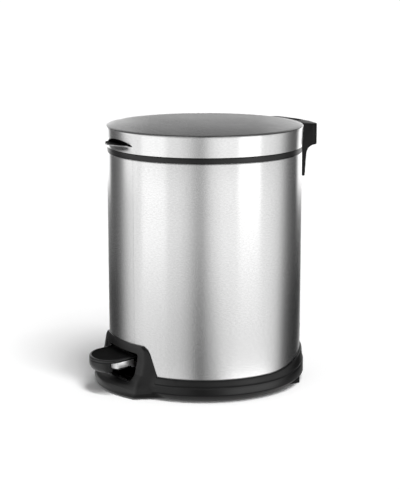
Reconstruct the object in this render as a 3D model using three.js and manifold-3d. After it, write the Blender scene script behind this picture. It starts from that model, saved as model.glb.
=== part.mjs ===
// Round five litre pedal bin: steel body and lid, black plastic base, rim and hinge.
// Millimetres. +Z is up, the pedal is at -Y, the lid hinge at +Y, and z = 0 is the floor.
// Angles written as "turn" are measured from the front (-Y) towards +X.
import * as THREE from 'three';
import { mergeVertices } from 'three/addons/utils/BufferGeometryUtils.js';
import Module from 'manifold-3d';

const wasm = await Module();
wasm.setup();

// ---------------------------------------------------------------- fits
const fitGap = 0.3; // between pieces that rest on or slide in each other
const pinFit = 0.3; // round a pin or a screw
const roundSides = 64; // facets of the large round pieces
const smallSides = 16; // facets of pins and screws

// ---------------------------------------------------------------- body tube and base
const bodyRadius = 101.5;
const bodyWall = 0.8;
const bodyHeight = 228.2;
const tubeSeatZ = 14; // lower edge of the steel tube, in the base's groove

const floorRingWidth = 5; // flat ring under the base
const toeRadius = bodyRadius - 4.5; // outer edge of that ring
const bulgeRadius = bodyRadius + 4.9;
const bulgeRearInset = 1.1; // the bulge is slimmer at the rear
const bulgeZ = 12;
const lowCreaseInset = 0.9; // bulge to lower crease
const lowCreaseZ = 8;
const shoulderInset = 0.3;
const shoulderZ = 15;
const shoulderRearRise = 2.7;
const topCreaseInset = 1.8;
const topCreaseZ = 17.6;
const topCreaseRearRise = 6;
const lipThickness = 0.7;
const lipFrontZ = 22.9;
const lipRearRise = 10.6;
const riseStartTurn = 100; // degrees: where the lip begins to climb
const riseSpanTurn = 58;
const plugWall = 1.2; // inner wall of the base, inside the tube
const plugTopZ = 36;
const ledgeReach = 17.2; // inward shelf that carries the bottom cover
const ledgeThickness = 2.2;
const coverThickness = 2.5;

const heelOuterX = bodyRadius - 22.5; // rear feet of the base
const heelInnerX = bodyRadius - 39.5;
const heelFrontY = bodyRadius - 46.5;
const heelHeight = 7.5;
const heelReach = bulgeRadius - 4.1;

// ---------------------------------------------------------------- pedal hood and its mouth
const hoodTopZ = 52.5;
const hoodFaceSteps = 8;
const mouthHalfWidth = 35.4;
const mouthSillZ = 15.5;
const mouthTopZ = 44.3;
const mouthCorner = 6;
const mouthDepth = 22;
const tubeCutHalfWidth = 32; // opening in the steel tube behind the hood
const tubeCutTopZ = 47;

// ---------------------------------------------------------------- deck over the pedal lever
const deckThickness = 2;
const tunnelWall = 1.8;
const tunnelDepth = 18;
const tunnelRoofZ = 46.3;

// ---------------------------------------------------------------- rim ring
const rimBand = 5.4; // visible black band
const rimInset = 0.2;
const rimSocketRadius = bodyRadius - 9.9; // recess for the bucket flange
const rimSocketDepth = 3.4;
const rimLedgeReach = 5.6;
const rimLedgeThickness = 3;
const rimTongueLength = 10.5;
const rimTongueWall = 1.6;

// ---------------------------------------------------------------- bucket and bail
const bucketFlangeThickness = 2;
const bucketFlangeWidth = 5.9;
const bucketWall = 1.6;
const bucketTaper = 7.4;
const bucketFloorZ = 42;
const bucketFloorThickness = 2;
const bailWire = 1.5; // radius
const earHalfWidth = 4;
const earThickness = 2.5;
const earCrest = 2; // material over the bail's pin
const bailLift = 1.5; // wire over the flange
const bailBend = 3;
const bailSteps = 28;
const bailSides = 8;

// ---------------------------------------------------------------- lid
const lidSkirtHeight = 21.1;
const lidDome = 1.2;
const lidWall = 1;
const lidFlare = 1.2; // top edge beyond the body
const lidFoot = 0.3; // lower edge beyond the body
const lidEdgeRadius = 0.8;
const linerThickness = 1.4;
const linerTopGap = 0.9; // under the steel at the rim
const linerSkirtWall = 1.8;
const linerSkirtGap = 0.4;

// ---------------------------------------------------------------- finger lift at the lid's front
const liftHalfTurn = 15.6; // degrees
const liftLipRise = 7; // lip edge above the skirt's lower edge
const liftLipReach = 11.2;
const liftArchRise = 5.2; // arch above the lip edge, in the middle
const liftArchEndRise = 0.6;
const liftSteps = 16;
const cupDepth = 8.4;
const cupWall = 1.5;
const cupEdgeBack = 1.4; // cup floor behind the lip's edge
const cupFloorDrop = 0.5;
const cupHeadroom = 1.6; // cup ceiling above the arch

// ---------------------------------------------------------------- lid hinge
const hingeBack = 11.5; // axis behind the body wall
const hingeDrop = 6.3; // axis under the lid's top edge
const hingePinRadius = 2;
const hingePinHalf = 26;
const housingHalfTurn = 20.5; // degrees each side of the rear
const housingCornerTurn = 3.5;
const housingCornerSink = 6;
const housingDepth = 20.1; // outer face behind the body wall
const housingInner = 3; // inner face behind the body wall
const housingTopDrop = 2; // outer top edge under the lid's top edge
const housingTopSlope = 0.9;
const housingFaceHeight = 21.8;
const tongueThickness = 5.6;
const tongueTaper = 0.9;
const tongueDrop = 29.7; // its lower end under the tube's top edge
const housingScoop = 11.2; // height of the concave underside
const housingSteps = 20;
const slotHalfWidth = 9.8;
const slotBackWall = 3.1;
const slotFloorDrop = 8;

const armHalfWidth = 9;
const armBarrelRadius = 5;
const armPlateThickness = 2.5;
const armPlateFrontY = bodyRadius - 39.5;
const armNeckDrop = 4.5;
const camForward = 17.3; // cam centre in front of the hinge axis
const camDrop = 8; // and under it
const camRadius = 3;

// ---------------------------------------------------------------- push rod
const rodRadius = 1.75;
const rodEndRound = 0.9;
const rodPlay = 0.4;
const rodCapRadius = 3;
const rodCapHeight = 6;
const rodCapSocket = 4;

// ---------------------------------------------------------------- pedal lever
const pivotForward = bodyRadius - 56.5; // pivot axis in front of the can's axis
const pivotZ = 12;
const pivotPinRadius = 2;
const pivotPinHalf = 21;
const leverPlate = 1.6;
const leverFlange = 6;
const leverFlangeWall = 2;
const leverHalfWidth = 12;
const leverEarRadius = 5.5;
const leverTailPast = 1.6; // beyond the push rod's axis
const treadHalfWidth = 25;
const treadRearZ = 36.3; // top of the steel at the mouth
const treadSlope = 0.1; // rises towards the mouth
const treadRearY = -(bodyRadius - 3);
const treadSteelFrontY = -(bodyRadius + 21.9);
const treadWideRearY = treadRearY + 0.5;
const treadSteelInset = 0.3; // inside the pad's outline
const leverKneeY = -(bodyRadius - 27.5);
const leverKneeZ = 18;
const leverRiseOverPin = 5.5;

const padFrontY = -(bodyRadius + 29.7);
const padRearY = -(bodyRadius - 6.5);
const padBow = 20; // depth of the rounded front
const padThickness = 3;
const padRim = 2;
const padRecess = 0.9;
const padRibs = 7;
const padRibWidth = 1.2;
const padRibHeight = 0.6;
const noseDepth = 10.6;
const coreDepth = 8;
const coreRearY = -(bodyRadius + 3);
const coreGap = 0.4;

const bearingWidth = 8;
const bearingLength = 14;
const bearingHead = 6; // over the pivot axis

// ---------------------------------------------------------------- screws
const screwShank = 1.4;
const screwHead = 2.8;
const screwHeadHeight = 1.5;
const screwRecess = 0.3;
const coverScrewInset = 5.2; // axis inside the cover's edge
const coverScrewReach = 4.2;
const bearingScrewReach = 8;
const treadScrewX = 16;
const treadScrewY = -(bodyRadius - 0.5);
const lidScrewYs = [bodyRadius - 33.5, bodyRadius - 17.5];
const housingScrewTurn = 12;
const housingScrewDrop = 20.2; // axis under the tube's top edge
const housingScrewReach = 4;

// ================================================================ derived places
const rad = THREE.MathUtils.degToRad;
const tubeTopZ = tubeSeatZ + bodyHeight;
const tubeInner = bodyRadius - bodyWall;
const plugOuter = tubeInner - fitGap;
const plugInner = plugOuter - plugWall;
const rimBottomZ = tubeTopZ + fitGap;
const rimTopZ = rimBottomZ + rimBand;
const rimSeatZ = rimTopZ - rimSocketDepth;
const lidBottomZ = rimTopZ + fitGap;
const lidEdgeZ = lidBottomZ + lidSkirtHeight;
const lidTopRadius = bodyRadius + lidFlare;
const lidFootRadius = bodyRadius + lidFoot;
const liftLipZ = lidBottomZ + liftLipRise;
const liftArchZ = liftLipZ + liftArchRise;
const hingeY = bodyRadius + hingeBack;
const hingeZ = lidEdgeZ - hingeDrop;
const camY = hingeY - camForward;
const camZ = hingeZ - camDrop;
const rodY = camY;
const rodTopZ = camZ - camRadius - rodPlay;
const pivotY = -pivotForward;
const leverTailZ = pivotZ;
const leverTailY = rodY + leverTailPast;
const rodBottomZ = leverTailZ + rodPlay;
const deckZ = plugTopZ + fitGap;
const deckTopZ = deckZ + deckThickness;
const coverRadius = toeRadius - floorRingWidth - fitGap;
const coverScrewRadius = coverRadius - coverScrewInset;
const ledgeInner = plugInner - ledgeReach;
const ledgeZ = coverThickness + fitGap;
const linerTopZ = lidEdgeZ - lidWall - linerTopGap;
const linerUnderZ = linerTopZ - linerThickness;
const armTopZ = linerUnderZ - fitGap;
const bucketFlangeRadius = rimSocketRadius - fitGap;
const bucketSeatZ = rimSeatZ + fitGap;
const bucketRimZ = bucketSeatZ + bucketFlangeThickness;
const bucketTopRadius = bucketFlangeRadius - bucketFlangeWidth;
const tongueBottomZ = tubeTopZ - tongueDrop;
const housingScrewZ = tubeTopZ - housingScrewDrop;

// ================================================================ solids from geometry
function solidOf(geometry) {
  const bare = geometry.clone();
  for (const name of Object.keys(bare.attributes)) {
    if (name !== 'position') bare.deleteAttribute(name);
  }
  const merged = mergeVertices(bare, 1e-4);
  const vertProperties = new Float32Array(merged.attributes.position.array);
  const triVerts = new Uint32Array(merged.index.array);
  const solid = new wasm.Manifold(new wasm.Mesh({ numProp: 3, vertProperties, triVerts }));
  if (solid.volume() > 0) return solid;
  const flipped = triVerts.slice();
  for (let i = 0; i < flipped.length; i += 3) {
    [flipped[i + 1], flipped[i + 2]] = [flipped[i + 2], flipped[i + 1]];
  }
  return new wasm.Manifold(new wasm.Mesh({ numProp: 3, vertProperties, triVerts: flipped }));
}

function geometryOf(solid) {
  const mesh = solid.getMesh();
  const geometry = new THREE.BufferGeometry();
  geometry.setAttribute('position', new THREE.BufferAttribute(mesh.vertProperties, 3));
  geometry.setIndex(new THREE.BufferAttribute(mesh.triVerts, 1));
  geometry.computeVertexNormals();
  return geometry;
}

const joined = (solids) => solids.reduce((sum, next) => sum.add(next));
const cutBy = (solid, tools) => tools.reduce((left, tool) => left.subtract(tool), solid);

function box(x0, x1, y0, y1, z0, z1) {
  const geometry = new THREE.BoxGeometry(x1 - x0, y1 - y0, z1 - z0);
  geometry.translate((x0 + x1) / 2, (y0 + y1) / 2, (z0 + z1) / 2);
  return solidOf(geometry);
}

// profile: [radius, z] pairs round the section, turned about the Z axis
function turned(profile, sides = roundSides) {
  const points = profile.map(([radius, z]) => new THREE.Vector2(radius, z));
  points.push(points[0].clone());
  const geometry = new THREE.LatheGeometry(points, sides);
  geometry.rotateX(Math.PI / 2);
  return solidOf(dropSlivers(geometry));
}

// the lathe leaves zero-area faces where its profile touches the axis
function dropSlivers(geometry) {
  const bare = geometry.clone();
  bare.deleteAttribute('normal');
  bare.deleteAttribute('uv');
  const merged = mergeVertices(bare, 1e-4);
  const kept = [];
  const index = merged.index.array;
  for (let i = 0; i < index.length; i += 3) {
    const [a, b, c] = [index[i], index[i + 1], index[i + 2]];
    if (a !== b && b !== c && c !== a) kept.push(a, b, c);
  }
  merged.setIndex(kept);
  return merged;
}

function cylinderZ(radius, z0, z1, x = 0, y = 0, sides = smallSides) {
  const geometry = new THREE.CylinderGeometry(radius, radius, z1 - z0, sides);
  geometry.rotateX(Math.PI / 2);
  geometry.translate(x, y, (z0 + z1) / 2);
  return solidOf(geometry);
}

function cylinderX(radius, x0, x1, y, z, sides = smallSides) {
  const geometry = new THREE.CylinderGeometry(radius, radius, x1 - x0, sides);
  geometry.rotateZ(Math.PI / 2);
  geometry.translate((x0 + x1) / 2, y, z);
  return solidOf(geometry);
}

// outline in (y, z), extruded along X
function extrudedX(outline, x0, x1) {
  const shape = new THREE.Shape(outline.map(([y, z]) => new THREE.Vector2(y, z)));
  const geometry = new THREE.ExtrudeGeometry(shape, { depth: x1 - x0, bevelEnabled: false });
  const basis = new THREE.Matrix4().makeBasis(
    new THREE.Vector3(0, 1, 0), new THREE.Vector3(0, 0, 1), new THREE.Vector3(1, 0, 0));
  geometry.applyMatrix4(basis);
  geometry.translate(x0, 0, 0);
  return solidOf(geometry);
}

// shape in (x, z), extruded along +Y
function extrudedY(shape, y0, y1) {
  const geometry = new THREE.ExtrudeGeometry(shape, { depth: y1 - y0, bevelEnabled: false, curveSegments: 4 });
  geometry.rotateX(Math.PI / 2);
  geometry.translate(0, y1, 0);
  return solidOf(geometry);
}

// triangles over a flat outline, each wound the way the outline runs
function capFaces(flat) {
  const faces = THREE.ShapeUtils.triangulateShape(flat, []);
  const first = faces[0].map((i) => flat[i]);
  const sameWay = THREE.ShapeUtils.area(first) * THREE.ShapeUtils.area(flat) > 0;
  return sameWay ? faces : faces.map(([a, b, c]) => [a, c, b]);
}

// sections of equally many points, joined in order; closed on itself or capped at both ends
function lofted(sections, flats, closed) {
  const count = sections[0].length;
  const positions = sections.flat().flatMap((point) => [point.x, point.y, point.z]);
  const index = [];
  const spans = closed ? sections.length : sections.length - 1;
  for (let i = 0; i < spans; i += 1) {
    const here = i * count;
    const there = ((i + 1) % sections.length) * count;
    for (let j = 0; j < count; j += 1) {
      const k = (j + 1) % count;
      index.push(here + j, here + k, there + k);
      index.push(here + j, there + k, there + j);
    }
  }
  if (!closed) {
    const last = (sections.length - 1) * count;
    for (const [a, b, c] of capFaces(flats[0])) index.push(a, c, b);
    for (const [a, b, c] of capFaces(flats[1])) index.push(last + a, last + b, last + c);
  }
  const geometry = new THREE.BufferGeometry();
  geometry.setAttribute('position', new THREE.Float32BufferAttribute(positions, 3));
  geometry.setIndex(index);
  return solidOf(geometry);
}

const polar = (turn, radius, z) => new THREE.Vector3(
  radius * Math.sin(rad(turn)), -radius * Math.cos(rad(turn)), z);

// sectionAt(turn) gives [radius, z] pairs; swept from turn0 to turn1
function sweptTurn(sectionAt, turn0, turn1, steps) {
  const sections = [];
  const flats = [];
  for (let i = 0; i <= steps; i += 1) {
    const turn = THREE.MathUtils.lerp(turn0, turn1, i / steps);
    const pairs = sectionAt(turn);
    sections.push(pairs.map(([radius, z]) => polar(turn, radius, z)));
    if (i === 0 || i === steps) flats.push(pairs.map(([radius, z]) => new THREE.Vector2(radius, z)));
  }
  return lofted(sections, flats, false);
}

// ================================================================ materials
const finish = (color, roughness, metalness) => ({ color, roughness, metalness });
const brushedSteel = finish(0xc9c9c8, 0.34, 1);
const plainSteel = finish(0xd2d2d0, 0.25, 1);
const blackPlastic = finish(0x1b1b1c, 0.5, 0);
const darkPlastic = finish(0x0d0d0e, 0.6, 0);
const bucketPlastic = finish(0x2a2a2c, 0.55, 0);
const zincSteel = finish(0xa8aaac, 0.4, 1);

const bin = new THREE.Group();

function addPart(parent, name, solid, look) {
  const mesh = new THREE.Mesh(geometryOf(solid), new THREE.MeshStandardMaterial(look));
  mesh.name = name;
  parent.add(mesh);
  return mesh;
}

// ================================================================ body
function makeBodyShell() {
  const tube = turned([
    [tubeInner, tubeSeatZ], [bodyRadius, tubeSeatZ], [bodyRadius, tubeTopZ], [tubeInner, tubeTopZ]]);
  const hoodCut = box(-tubeCutHalfWidth, tubeCutHalfWidth, -bodyRadius - 1, -bodyRadius / 2,
    tubeSeatZ - 1, tubeCutTopZ);
  return cutBy(tube, [hoodCut, ...housingScrewHoles()]);
}

function makeRimRing() {
  const outer = bodyRadius - rimInset;
  const tongueOuter = tubeInner - fitGap;
  const tongueInner = tongueOuter - rimTongueWall;
  const ledgeRadius = rimSocketRadius - rimLedgeReach;
  const ledgeBottomZ = rimSeatZ - rimLedgeThickness;
  const ring = turned([
    [outer, rimBottomZ], [outer, rimTopZ], [rimSocketRadius, rimTopZ], [rimSocketRadius, rimSeatZ],
    [ledgeRadius, rimSeatZ], [ledgeRadius, ledgeBottomZ], [tongueInner, ledgeBottomZ],
    [tongueInner, rimBottomZ - rimTongueLength], [tongueOuter, rimBottomZ - rimTongueLength],
    [tongueOuter, rimBottomZ]]);
  const rodHole = cylinderZ(rodCapRadius + fitGap, rimBottomZ - rimTongueLength - 1, rimTopZ + 1, 0, rodY);
  return ring.subtract(rodHole);
}

// ================================================================ base
const rearRise = (turn) => {
  const away = Math.abs(((turn + 180) % 360 + 360) % 360 - 180);
  return THREE.MathUtils.smoothstep(away, riseStartTurn, riseStartTurn + riseSpanTurn);
};

function baseSection(turn) {
  const rise = rearRise(turn);
  const bulge = bulgeRadius - bulgeRearInset * rise;
  const lowCrease = bulge - lowCreaseInset;
  const lipZ = lipFrontZ + lipRearRise * rise;
  const groove = bodyRadius + fitGap;
  const grooveZ = tubeSeatZ - fitGap;
  return [
    [toeRadius, 0],
    [toeRadius + (lowCrease - toeRadius) * 0.45, lowCreaseZ * 0.3],
    [lowCrease, lowCreaseZ],
    [bulge, bulgeZ],
    [bulge - shoulderInset, shoulderZ + shoulderRearRise * rise],
    [bulge - topCreaseInset, topCreaseZ + topCreaseRearRise * rise],
    [groove + lipThickness, lipZ],
    [groove, lipZ],
    [groove, grooveZ],
    [plugOuter, grooveZ],
    [plugOuter, plugTopZ],
    [plugInner, plugTopZ],
    [plugInner, ledgeZ + ledgeThickness],
    [ledgeInner, ledgeZ + ledgeThickness],
    [ledgeInner, ledgeZ],
    [toeRadius - floorRingWidth, ledgeZ],
    [toeRadius - floorRingWidth, 0]];
}

function makeBaseRing() {
  const sections = [];
  for (let i = 0; i < roundSides; i += 1) {
    const turn = 360 * i / roundSides;
    sections.push(baseSection(turn).map(([radius, z]) => polar(turn, radius, z)));
  }
  return lofted(sections, null, true);
}

// hood levels: height, front beyond the tube in the middle and at the corner, the corner's centre
// beyond the mouth's side and its radius, and the turn and reach beyond the tube where the flank
// runs into the round base
const hoodLevels = [
  { z: 0, front: 15.9, side: 6, cornerOut: 4.4, corner: 3, footTurn: 35.3, foot: -4.5 },
  { z: 1.6, front: 18.2, side: 8.2, cornerOut: 6.6, corner: 3.6, footTurn: 35, foot: -2 },
  { z: 5.6, front: 18.3, side: 8.2, cornerOut: 8.2, corner: 4, footTurn: 34.5, foot: 0.6 },
  { z: 9, front: 17.4, side: 6.9, cornerOut: 8.4, corner: 4, footTurn: 34, foot: 1 },
  { z: 12.5, front: 14, side: 5.4, cornerOut: 8, corner: 4, footTurn: 33.6, foot: 1 },
  { z: mouthSillZ - 0.5, front: 10.6, side: 4.2, cornerOut: 7.6, corner: 4, footTurn: 33.2, foot: 0.9 },
  { z: mouthSillZ + 2, front: 7, side: 3, cornerOut: 7.2, corner: 4, footTurn: 32.8, foot: 0.8 },
  { z: mouthSillZ + 8.5, front: 4.4, side: -0.6, cornerOut: 7, corner: 4, footTurn: 31.8, foot: 0.6 },
  { z: hoodTopZ - 17.5, front: 3, side: -3.4, cornerOut: 6.4, corner: 4, footTurn: 29.6, foot: 0.6 },
  { z: hoodTopZ - 7.5, front: 2.4, side: -4.4, cornerOut: 5, corner: 4, footTurn: 27.4, foot: 0.6 },
  { z: hoodTopZ - 3.1, front: 1.9, side: -4.8, cornerOut: 3.8, corner: 3.6, footTurn: 25.8, foot: 0.6 },
  { z: hoodTopZ, front: 1.1, side: -5.2, cornerOut: 1.2, corner: 2.6, footTurn: 23.2, foot: 0.6 },
];

// plan outline of the hood at one level, from the right foot round the front to the left foot
function hoodOutline(level) {
  const right = [];
  const foot = polar(level.footTurn, bodyRadius + level.foot, 0);
  const inside = polar(level.footTurn - 2, bodyRadius - 6, 0);
  const centre = new THREE.Vector2(
    mouthHalfWidth + level.cornerOut, -(bodyRadius + level.side - level.corner));
  right.push(new THREE.Vector2(inside.x, inside.y));
  right.push(new THREE.Vector2(foot.x, foot.y));
  const flank = new THREE.Vector2(foot.x - centre.x, foot.y - centre.y);
  const flankTurn = Math.atan2(flank.x, -flank.y) - Math.acos(Math.min(1, level.corner / flank.length()));
  const cornerSteps = 4;
  for (let i = 0; i <= cornerSteps; i += 1) {
    const turn = THREE.MathUtils.lerp(Math.max(flankTurn, 0.2), 0, i / cornerSteps);
    right.push(new THREE.Vector2(
      centre.x + level.corner * Math.sin(turn), centre.y - level.corner * Math.cos(turn)));
  }
  for (let i = hoodFaceSteps - 1; i > 0; i -= 1) {
    const share = i / hoodFaceSteps;
    const crown = (level.front - level.side) * (1 - share * share);
    right.push(new THREE.Vector2(share * centre.x, -(bodyRadius + level.side + crown)));
  }
  const left = right.map((point) => new THREE.Vector2(-point.x, point.y)).reverse();
  return [...right, new THREE.Vector2(0, -(bodyRadius + level.front)), ...left];
}

function makeHood() {
  const outlines = hoodLevels.map(hoodOutline);
  const sections = outlines.map((outline, i) => outline.map(
    (point) => new THREE.Vector3(point.x, point.y, hoodLevels[i].z)));
  const flats = [outlines[0], outlines[outlines.length - 1]];
  return lofted(sections, flats, false);
}

function mouthShape() {
  const shape = new THREE.Shape();
  const [w, low, high, r] = [mouthHalfWidth, mouthSillZ, mouthTopZ, mouthCorner];
  shape.moveTo(-w + r, low);
  shape.lineTo(w - r, low);
  shape.quadraticCurveTo(w, low, w, low + r);
  shape.lineTo(w, high - r / 2);
  shape.quadraticCurveTo(w, high, w - r / 2, high);
  shape.lineTo(-w + r / 2, high);
  shape.quadraticCurveTo(-w, high, -w, high - r / 2);
  shape.lineTo(-w, low + r);
  shape.quadraticCurveTo(-w, low, -w + r, low);
  return shape;
}

function makeHeel(side) {
  const block = box(heelInnerX, heelOuterX, heelFrontY, bulgeRadius, 0, heelHeight);
  const kept = block
    .intersect(cylinderZ(heelReach, -1, heelHeight + 1, 0, 0, roundSides))
    .subtract(cylinderZ(toeRadius - 1, -1, heelHeight + 1, 0, 0, roundSides));
  return side > 0 ? kept : kept.mirror([1, 0, 0]);
}

function makeBase() {
  const tubeRoom = turned([
    [0, tubeSeatZ - fitGap], [bodyRadius + fitGap, tubeSeatZ - fitGap],
    [bodyRadius + fitGap, hoodTopZ + 1], [0, hoodTopZ + 1]]);
  const insideRoom = cylinderZ(plugInner, -1, hoodTopZ + 1, 0, 0, roundSides);
  const hood = makeHood().subtract(tubeRoom).subtract(insideRoom);
  const body = joined([makeBaseRing(), hood, makeHeel(1), makeHeel(-1)]);
  const mouth = extrudedY(mouthShape(), -(bodyRadius + mouthDepth), -(bodyRadius - mouthDepth));
  return cutBy(body, [mouth, ...coverScrewHoles()]);
}

// ================================================================ deck and bottom cover
function makeDeck() {
  const radius = tubeInner - 1.6 * fitGap;
  const half = mouthHalfWidth;
  const backY = -(bodyRadius - tunnelDepth);
  const plate = cylinderZ(radius, deckZ, deckTopZ, 0, 0, roundSides);
  const tunnel = box(-half - tunnelWall, half + tunnelWall, -radius - 1, backY + tunnelWall,
    deckZ, tunnelRoofZ + tunnelWall);
  const room = box(-half, half, -radius - 2, backY, deckZ - 1, tunnelRoofZ);
  const round = cylinderZ(radius, deckZ - 1, tunnelRoofZ + tunnelWall + 1, 0, 0, roundSides);
  const rodHole = cylinderZ(rodRadius + pinFit, deckZ - 1, deckTopZ + 1, 0, rodY);
  return cutBy(joined([plate, tunnel.intersect(round)]), [room, rodHole]);
}

const coverScrewTurns = [60, 180, 300];
const bearingX = leverHalfWidth + 1 + bearingWidth / 2;

function screwAt(place, reach) {
  const profile = [
    [0, screwRecess], [screwHead, screwRecess], [screwHead, screwRecess + screwHeadHeight],
    [screwShank, screwRecess + screwHeadHeight], [screwShank, reach], [0, reach]];
  return turned(profile, smallSides).translate([place.x, place.y, place.z]);
}

function screwHole(place, reach) {
  const profile = [
    [0, -1], [screwHead + pinFit, -1], [screwHead + pinFit, screwRecess + screwHeadHeight + pinFit],
    [screwShank + pinFit, screwRecess + screwHeadHeight + pinFit], [screwShank + pinFit, reach + pinFit],
    [0, reach + pinFit]];
  return turned(profile, smallSides).translate([place.x, place.y, place.z]);
}

function coverScrewHoles() {
  return coverScrewTurns.map((turn) => screwHole(polar(turn, coverScrewRadius, 0), coverScrewReach));
}

function bearingScrewHole(side) {
  return screwHole(new THREE.Vector3(side * bearingX, pivotY, 0), bearingScrewReach);
}

function makeBottomCover() {
  const plate = cylinderZ(coverRadius, 0, coverThickness, 0, 0, roundSides);
  return cutBy(plate, [...coverScrewHoles(), bearingScrewHole(1), bearingScrewHole(-1)]);
}

function makeBearing(side) {
  const inner = leverHalfWidth + 1;
  const block = box(inner, inner + bearingWidth, pivotY - bearingLength / 2, pivotY + bearingLength / 2,
    coverThickness + fitGap, pivotZ + bearingHead);
  const placed = side > 0 ? block : block.mirror([1, 0, 0]);
  const bore = cylinderX(pivotPinRadius + pinFit, -pivotPinHalf - 1, pivotPinHalf + 1, pivotY, pivotZ);
  return cutBy(placed, [bore, bearingScrewHole(side)]);
}

// ================================================================ lid
function lidSkirtRadius(z) {
  return THREE.MathUtils.mapLinear(z, lidBottomZ, lidEdgeZ, lidFootRadius, lidTopRadius);
}

// height of the arch over the finger lift, on the skirt
function archZ(turn) {
  const share = Math.min(1, Math.abs(turn) / liftHalfTurn);
  const rise = THREE.MathUtils.lerp(liftArchRise, liftArchEndRise, share ** 2.6);
  return liftLipZ + rise;
}

// how far the lip's edge stands out of the skirt
function lipReach(turn) {
  const share = Math.min(1, Math.abs(turn) / liftHalfTurn);
  return liftLipReach * (1 - share ** 2.4) ** 1.3 + 0.05;
}

function liftCut() {
  const inner = lidFootRadius - lidWall - 1.5;
  const outer = lidTopRadius + 1;
  return sweptTurn((turn) => [
    [inner, lidBottomZ + lidWall * 1.6], [outer, lidBottomZ + lidWall * 1.6],
    [outer, archZ(turn)], [inner, archZ(turn)]], -liftHalfTurn, liftHalfTurn, liftSteps);
}

function liftLip() {
  return sweptTurn((turn) => {
    const edge = lidSkirtRadius(liftLipZ) + lipReach(turn);
    return [
      [lidFootRadius - lidWall * 0.9, lidBottomZ], [lidFootRadius, lidBottomZ],
      [edge, liftLipZ - lidWall * 0.4], [edge, liftLipZ], [edge - lidWall * 1.2, liftLipZ],
      [lidFootRadius - lidWall * 0.9, lidBottomZ + lidWall * 2]];
  }, -liftHalfTurn - 0.4, liftHalfTurn + 0.4, liftSteps + 2);
}

function makeLidShell() {
  const inFoot = lidFootRadius - lidWall;
  const inTop = lidTopRadius - lidWall;
  const cap = lidEdgeZ + lidDome;
  const shell = turned([
    [0, cap], [0, cap - lidWall],
    [inTop * 0.5, cap - lidWall - lidDome * 0.25], [inTop - lidEdgeRadius, lidEdgeZ - lidWall],
    [inTop, lidEdgeZ - lidWall - lidEdgeRadius], [inFoot, lidBottomZ],
    [lidFootRadius, lidBottomZ], [lidTopRadius, lidEdgeZ - lidEdgeRadius],
    [lidTopRadius - lidEdgeRadius * 0.3, lidEdgeZ - lidEdgeRadius * 0.3],
    [lidTopRadius - lidEdgeRadius, lidEdgeZ],
    [lidTopRadius * 0.5, cap - lidDome * 0.25]]);
  const armNotch = box(-slotHalfWidth, slotHalfWidth, bodyRadius / 2, lidTopRadius + 1,
    lidBottomZ - 1, armTopZ + fitGap);
  return joined([shell.subtract(liftCut()), liftLip()]).subtract(armNotch);
}

function makeLidLiner() {
  const outer = lidFootRadius - lidWall - linerSkirtGap;
  const inner = outer - linerSkirtWall;
  const shell = turned([
    [0, linerTopZ], [0, linerUnderZ], [inner, linerUnderZ], [inner, lidBottomZ + fitGap],
    [outer, lidBottomZ + fitGap], [outer, linerTopZ]]);
  const armNotch = box(-slotHalfWidth, slotHalfWidth, inner - 5, outer + 1,
    lidBottomZ - 1, armTopZ + fitGap);
  const cupTop = archZ(0) + cupHeadroom + fitGap;
  const cupNotch = sweptTurn(() => [
    [inner - 2, lidBottomZ - 1], [outer + 2, lidBottomZ - 1], [outer + 2, cupTop], [inner - 2, cupTop]],
  -liftHalfTurn - 2.2, liftHalfTurn + 2.2, 4);
  const screws = lidScrewYs.map((y) => cylinderZ(screwShank + pinFit, linerUnderZ - 1, linerTopZ + 1, 0, y));
  return cutBy(shell, [armNotch, cupNotch, ...screws]);
}

// black pocket behind the finger lift, with a floor that runs out under the lip's edge
function makeFingerCup() {
  const outer = lidFootRadius - lidWall - linerSkirtGap;
  const back = outer - cupDepth;
  const ceiling = archZ(0) + cupHeadroom;
  const floorZ = liftLipZ - cupFloorDrop;
  const floorUnderZ = floorZ - cupWall;
  const block = sweptTurn(() => [
    [back, floorUnderZ], [outer, floorUnderZ], [outer, ceiling], [back, ceiling]],
  -liftHalfTurn - 1.6, liftHalfTurn + 1.6, liftSteps);
  const room = sweptTurn(() => [
    [back + cupWall, floorZ], [outer + 1, floorZ], [outer + 1, ceiling - cupWall],
    [back + cupWall, ceiling - cupWall]], -liftHalfTurn, liftHalfTurn, liftSteps);
  const shelf = sweptTurn((turn) => {
    const reach = Math.max(0, lipReach(turn) - cupEdgeBack);
    return [
      [outer - cupWall, floorUnderZ], [outer + reach * 0.6, floorUnderZ],
      [outer + reach + 0.1, floorZ], [outer - cupWall, floorZ]];
  }, -liftHalfTurn * 0.86, liftHalfTurn * 0.86, liftSteps);
  return joined([block.subtract(room), shelf]);
}

function makeLidArm() {
  const plate = box(-armHalfWidth, armHalfWidth, armPlateFrontY, camY + camRadius,
    armTopZ - armPlateThickness, armTopZ);
  const neck = box(-armHalfWidth, armHalfWidth, camY - camRadius, hingeY, hingeZ - armNeckDrop, armTopZ);
  const barrel = cylinderX(armBarrelRadius, -armHalfWidth, armHalfWidth, hingeY, hingeZ, 24);
  const web = extrudedX([
    [camY - camRadius * 2.6, armTopZ - armPlateThickness / 2], [camY - camRadius, camZ],
    [camY + camRadius, camZ], [camY + camRadius * 1.4, hingeZ - armNeckDrop],
    [camY + camRadius * 1.4, armTopZ - armPlateThickness / 2]], -armHalfWidth, armHalfWidth);
  const cam = cylinderX(camRadius, -armHalfWidth, armHalfWidth, camY, camZ, 24);
  const bore = cylinderX(hingePinRadius + pinFit, -armHalfWidth - 1, armHalfWidth + 1, hingeY, hingeZ);
  const screws = lidScrewYs.map((y) => cylinderZ(screwShank + pinFit,
    armTopZ - armPlateThickness - 1, armTopZ + 1, 0, y));
  return cutBy(joined([plate, neck, barrel, web, cam]), [bore, ...screws]);
}

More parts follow.
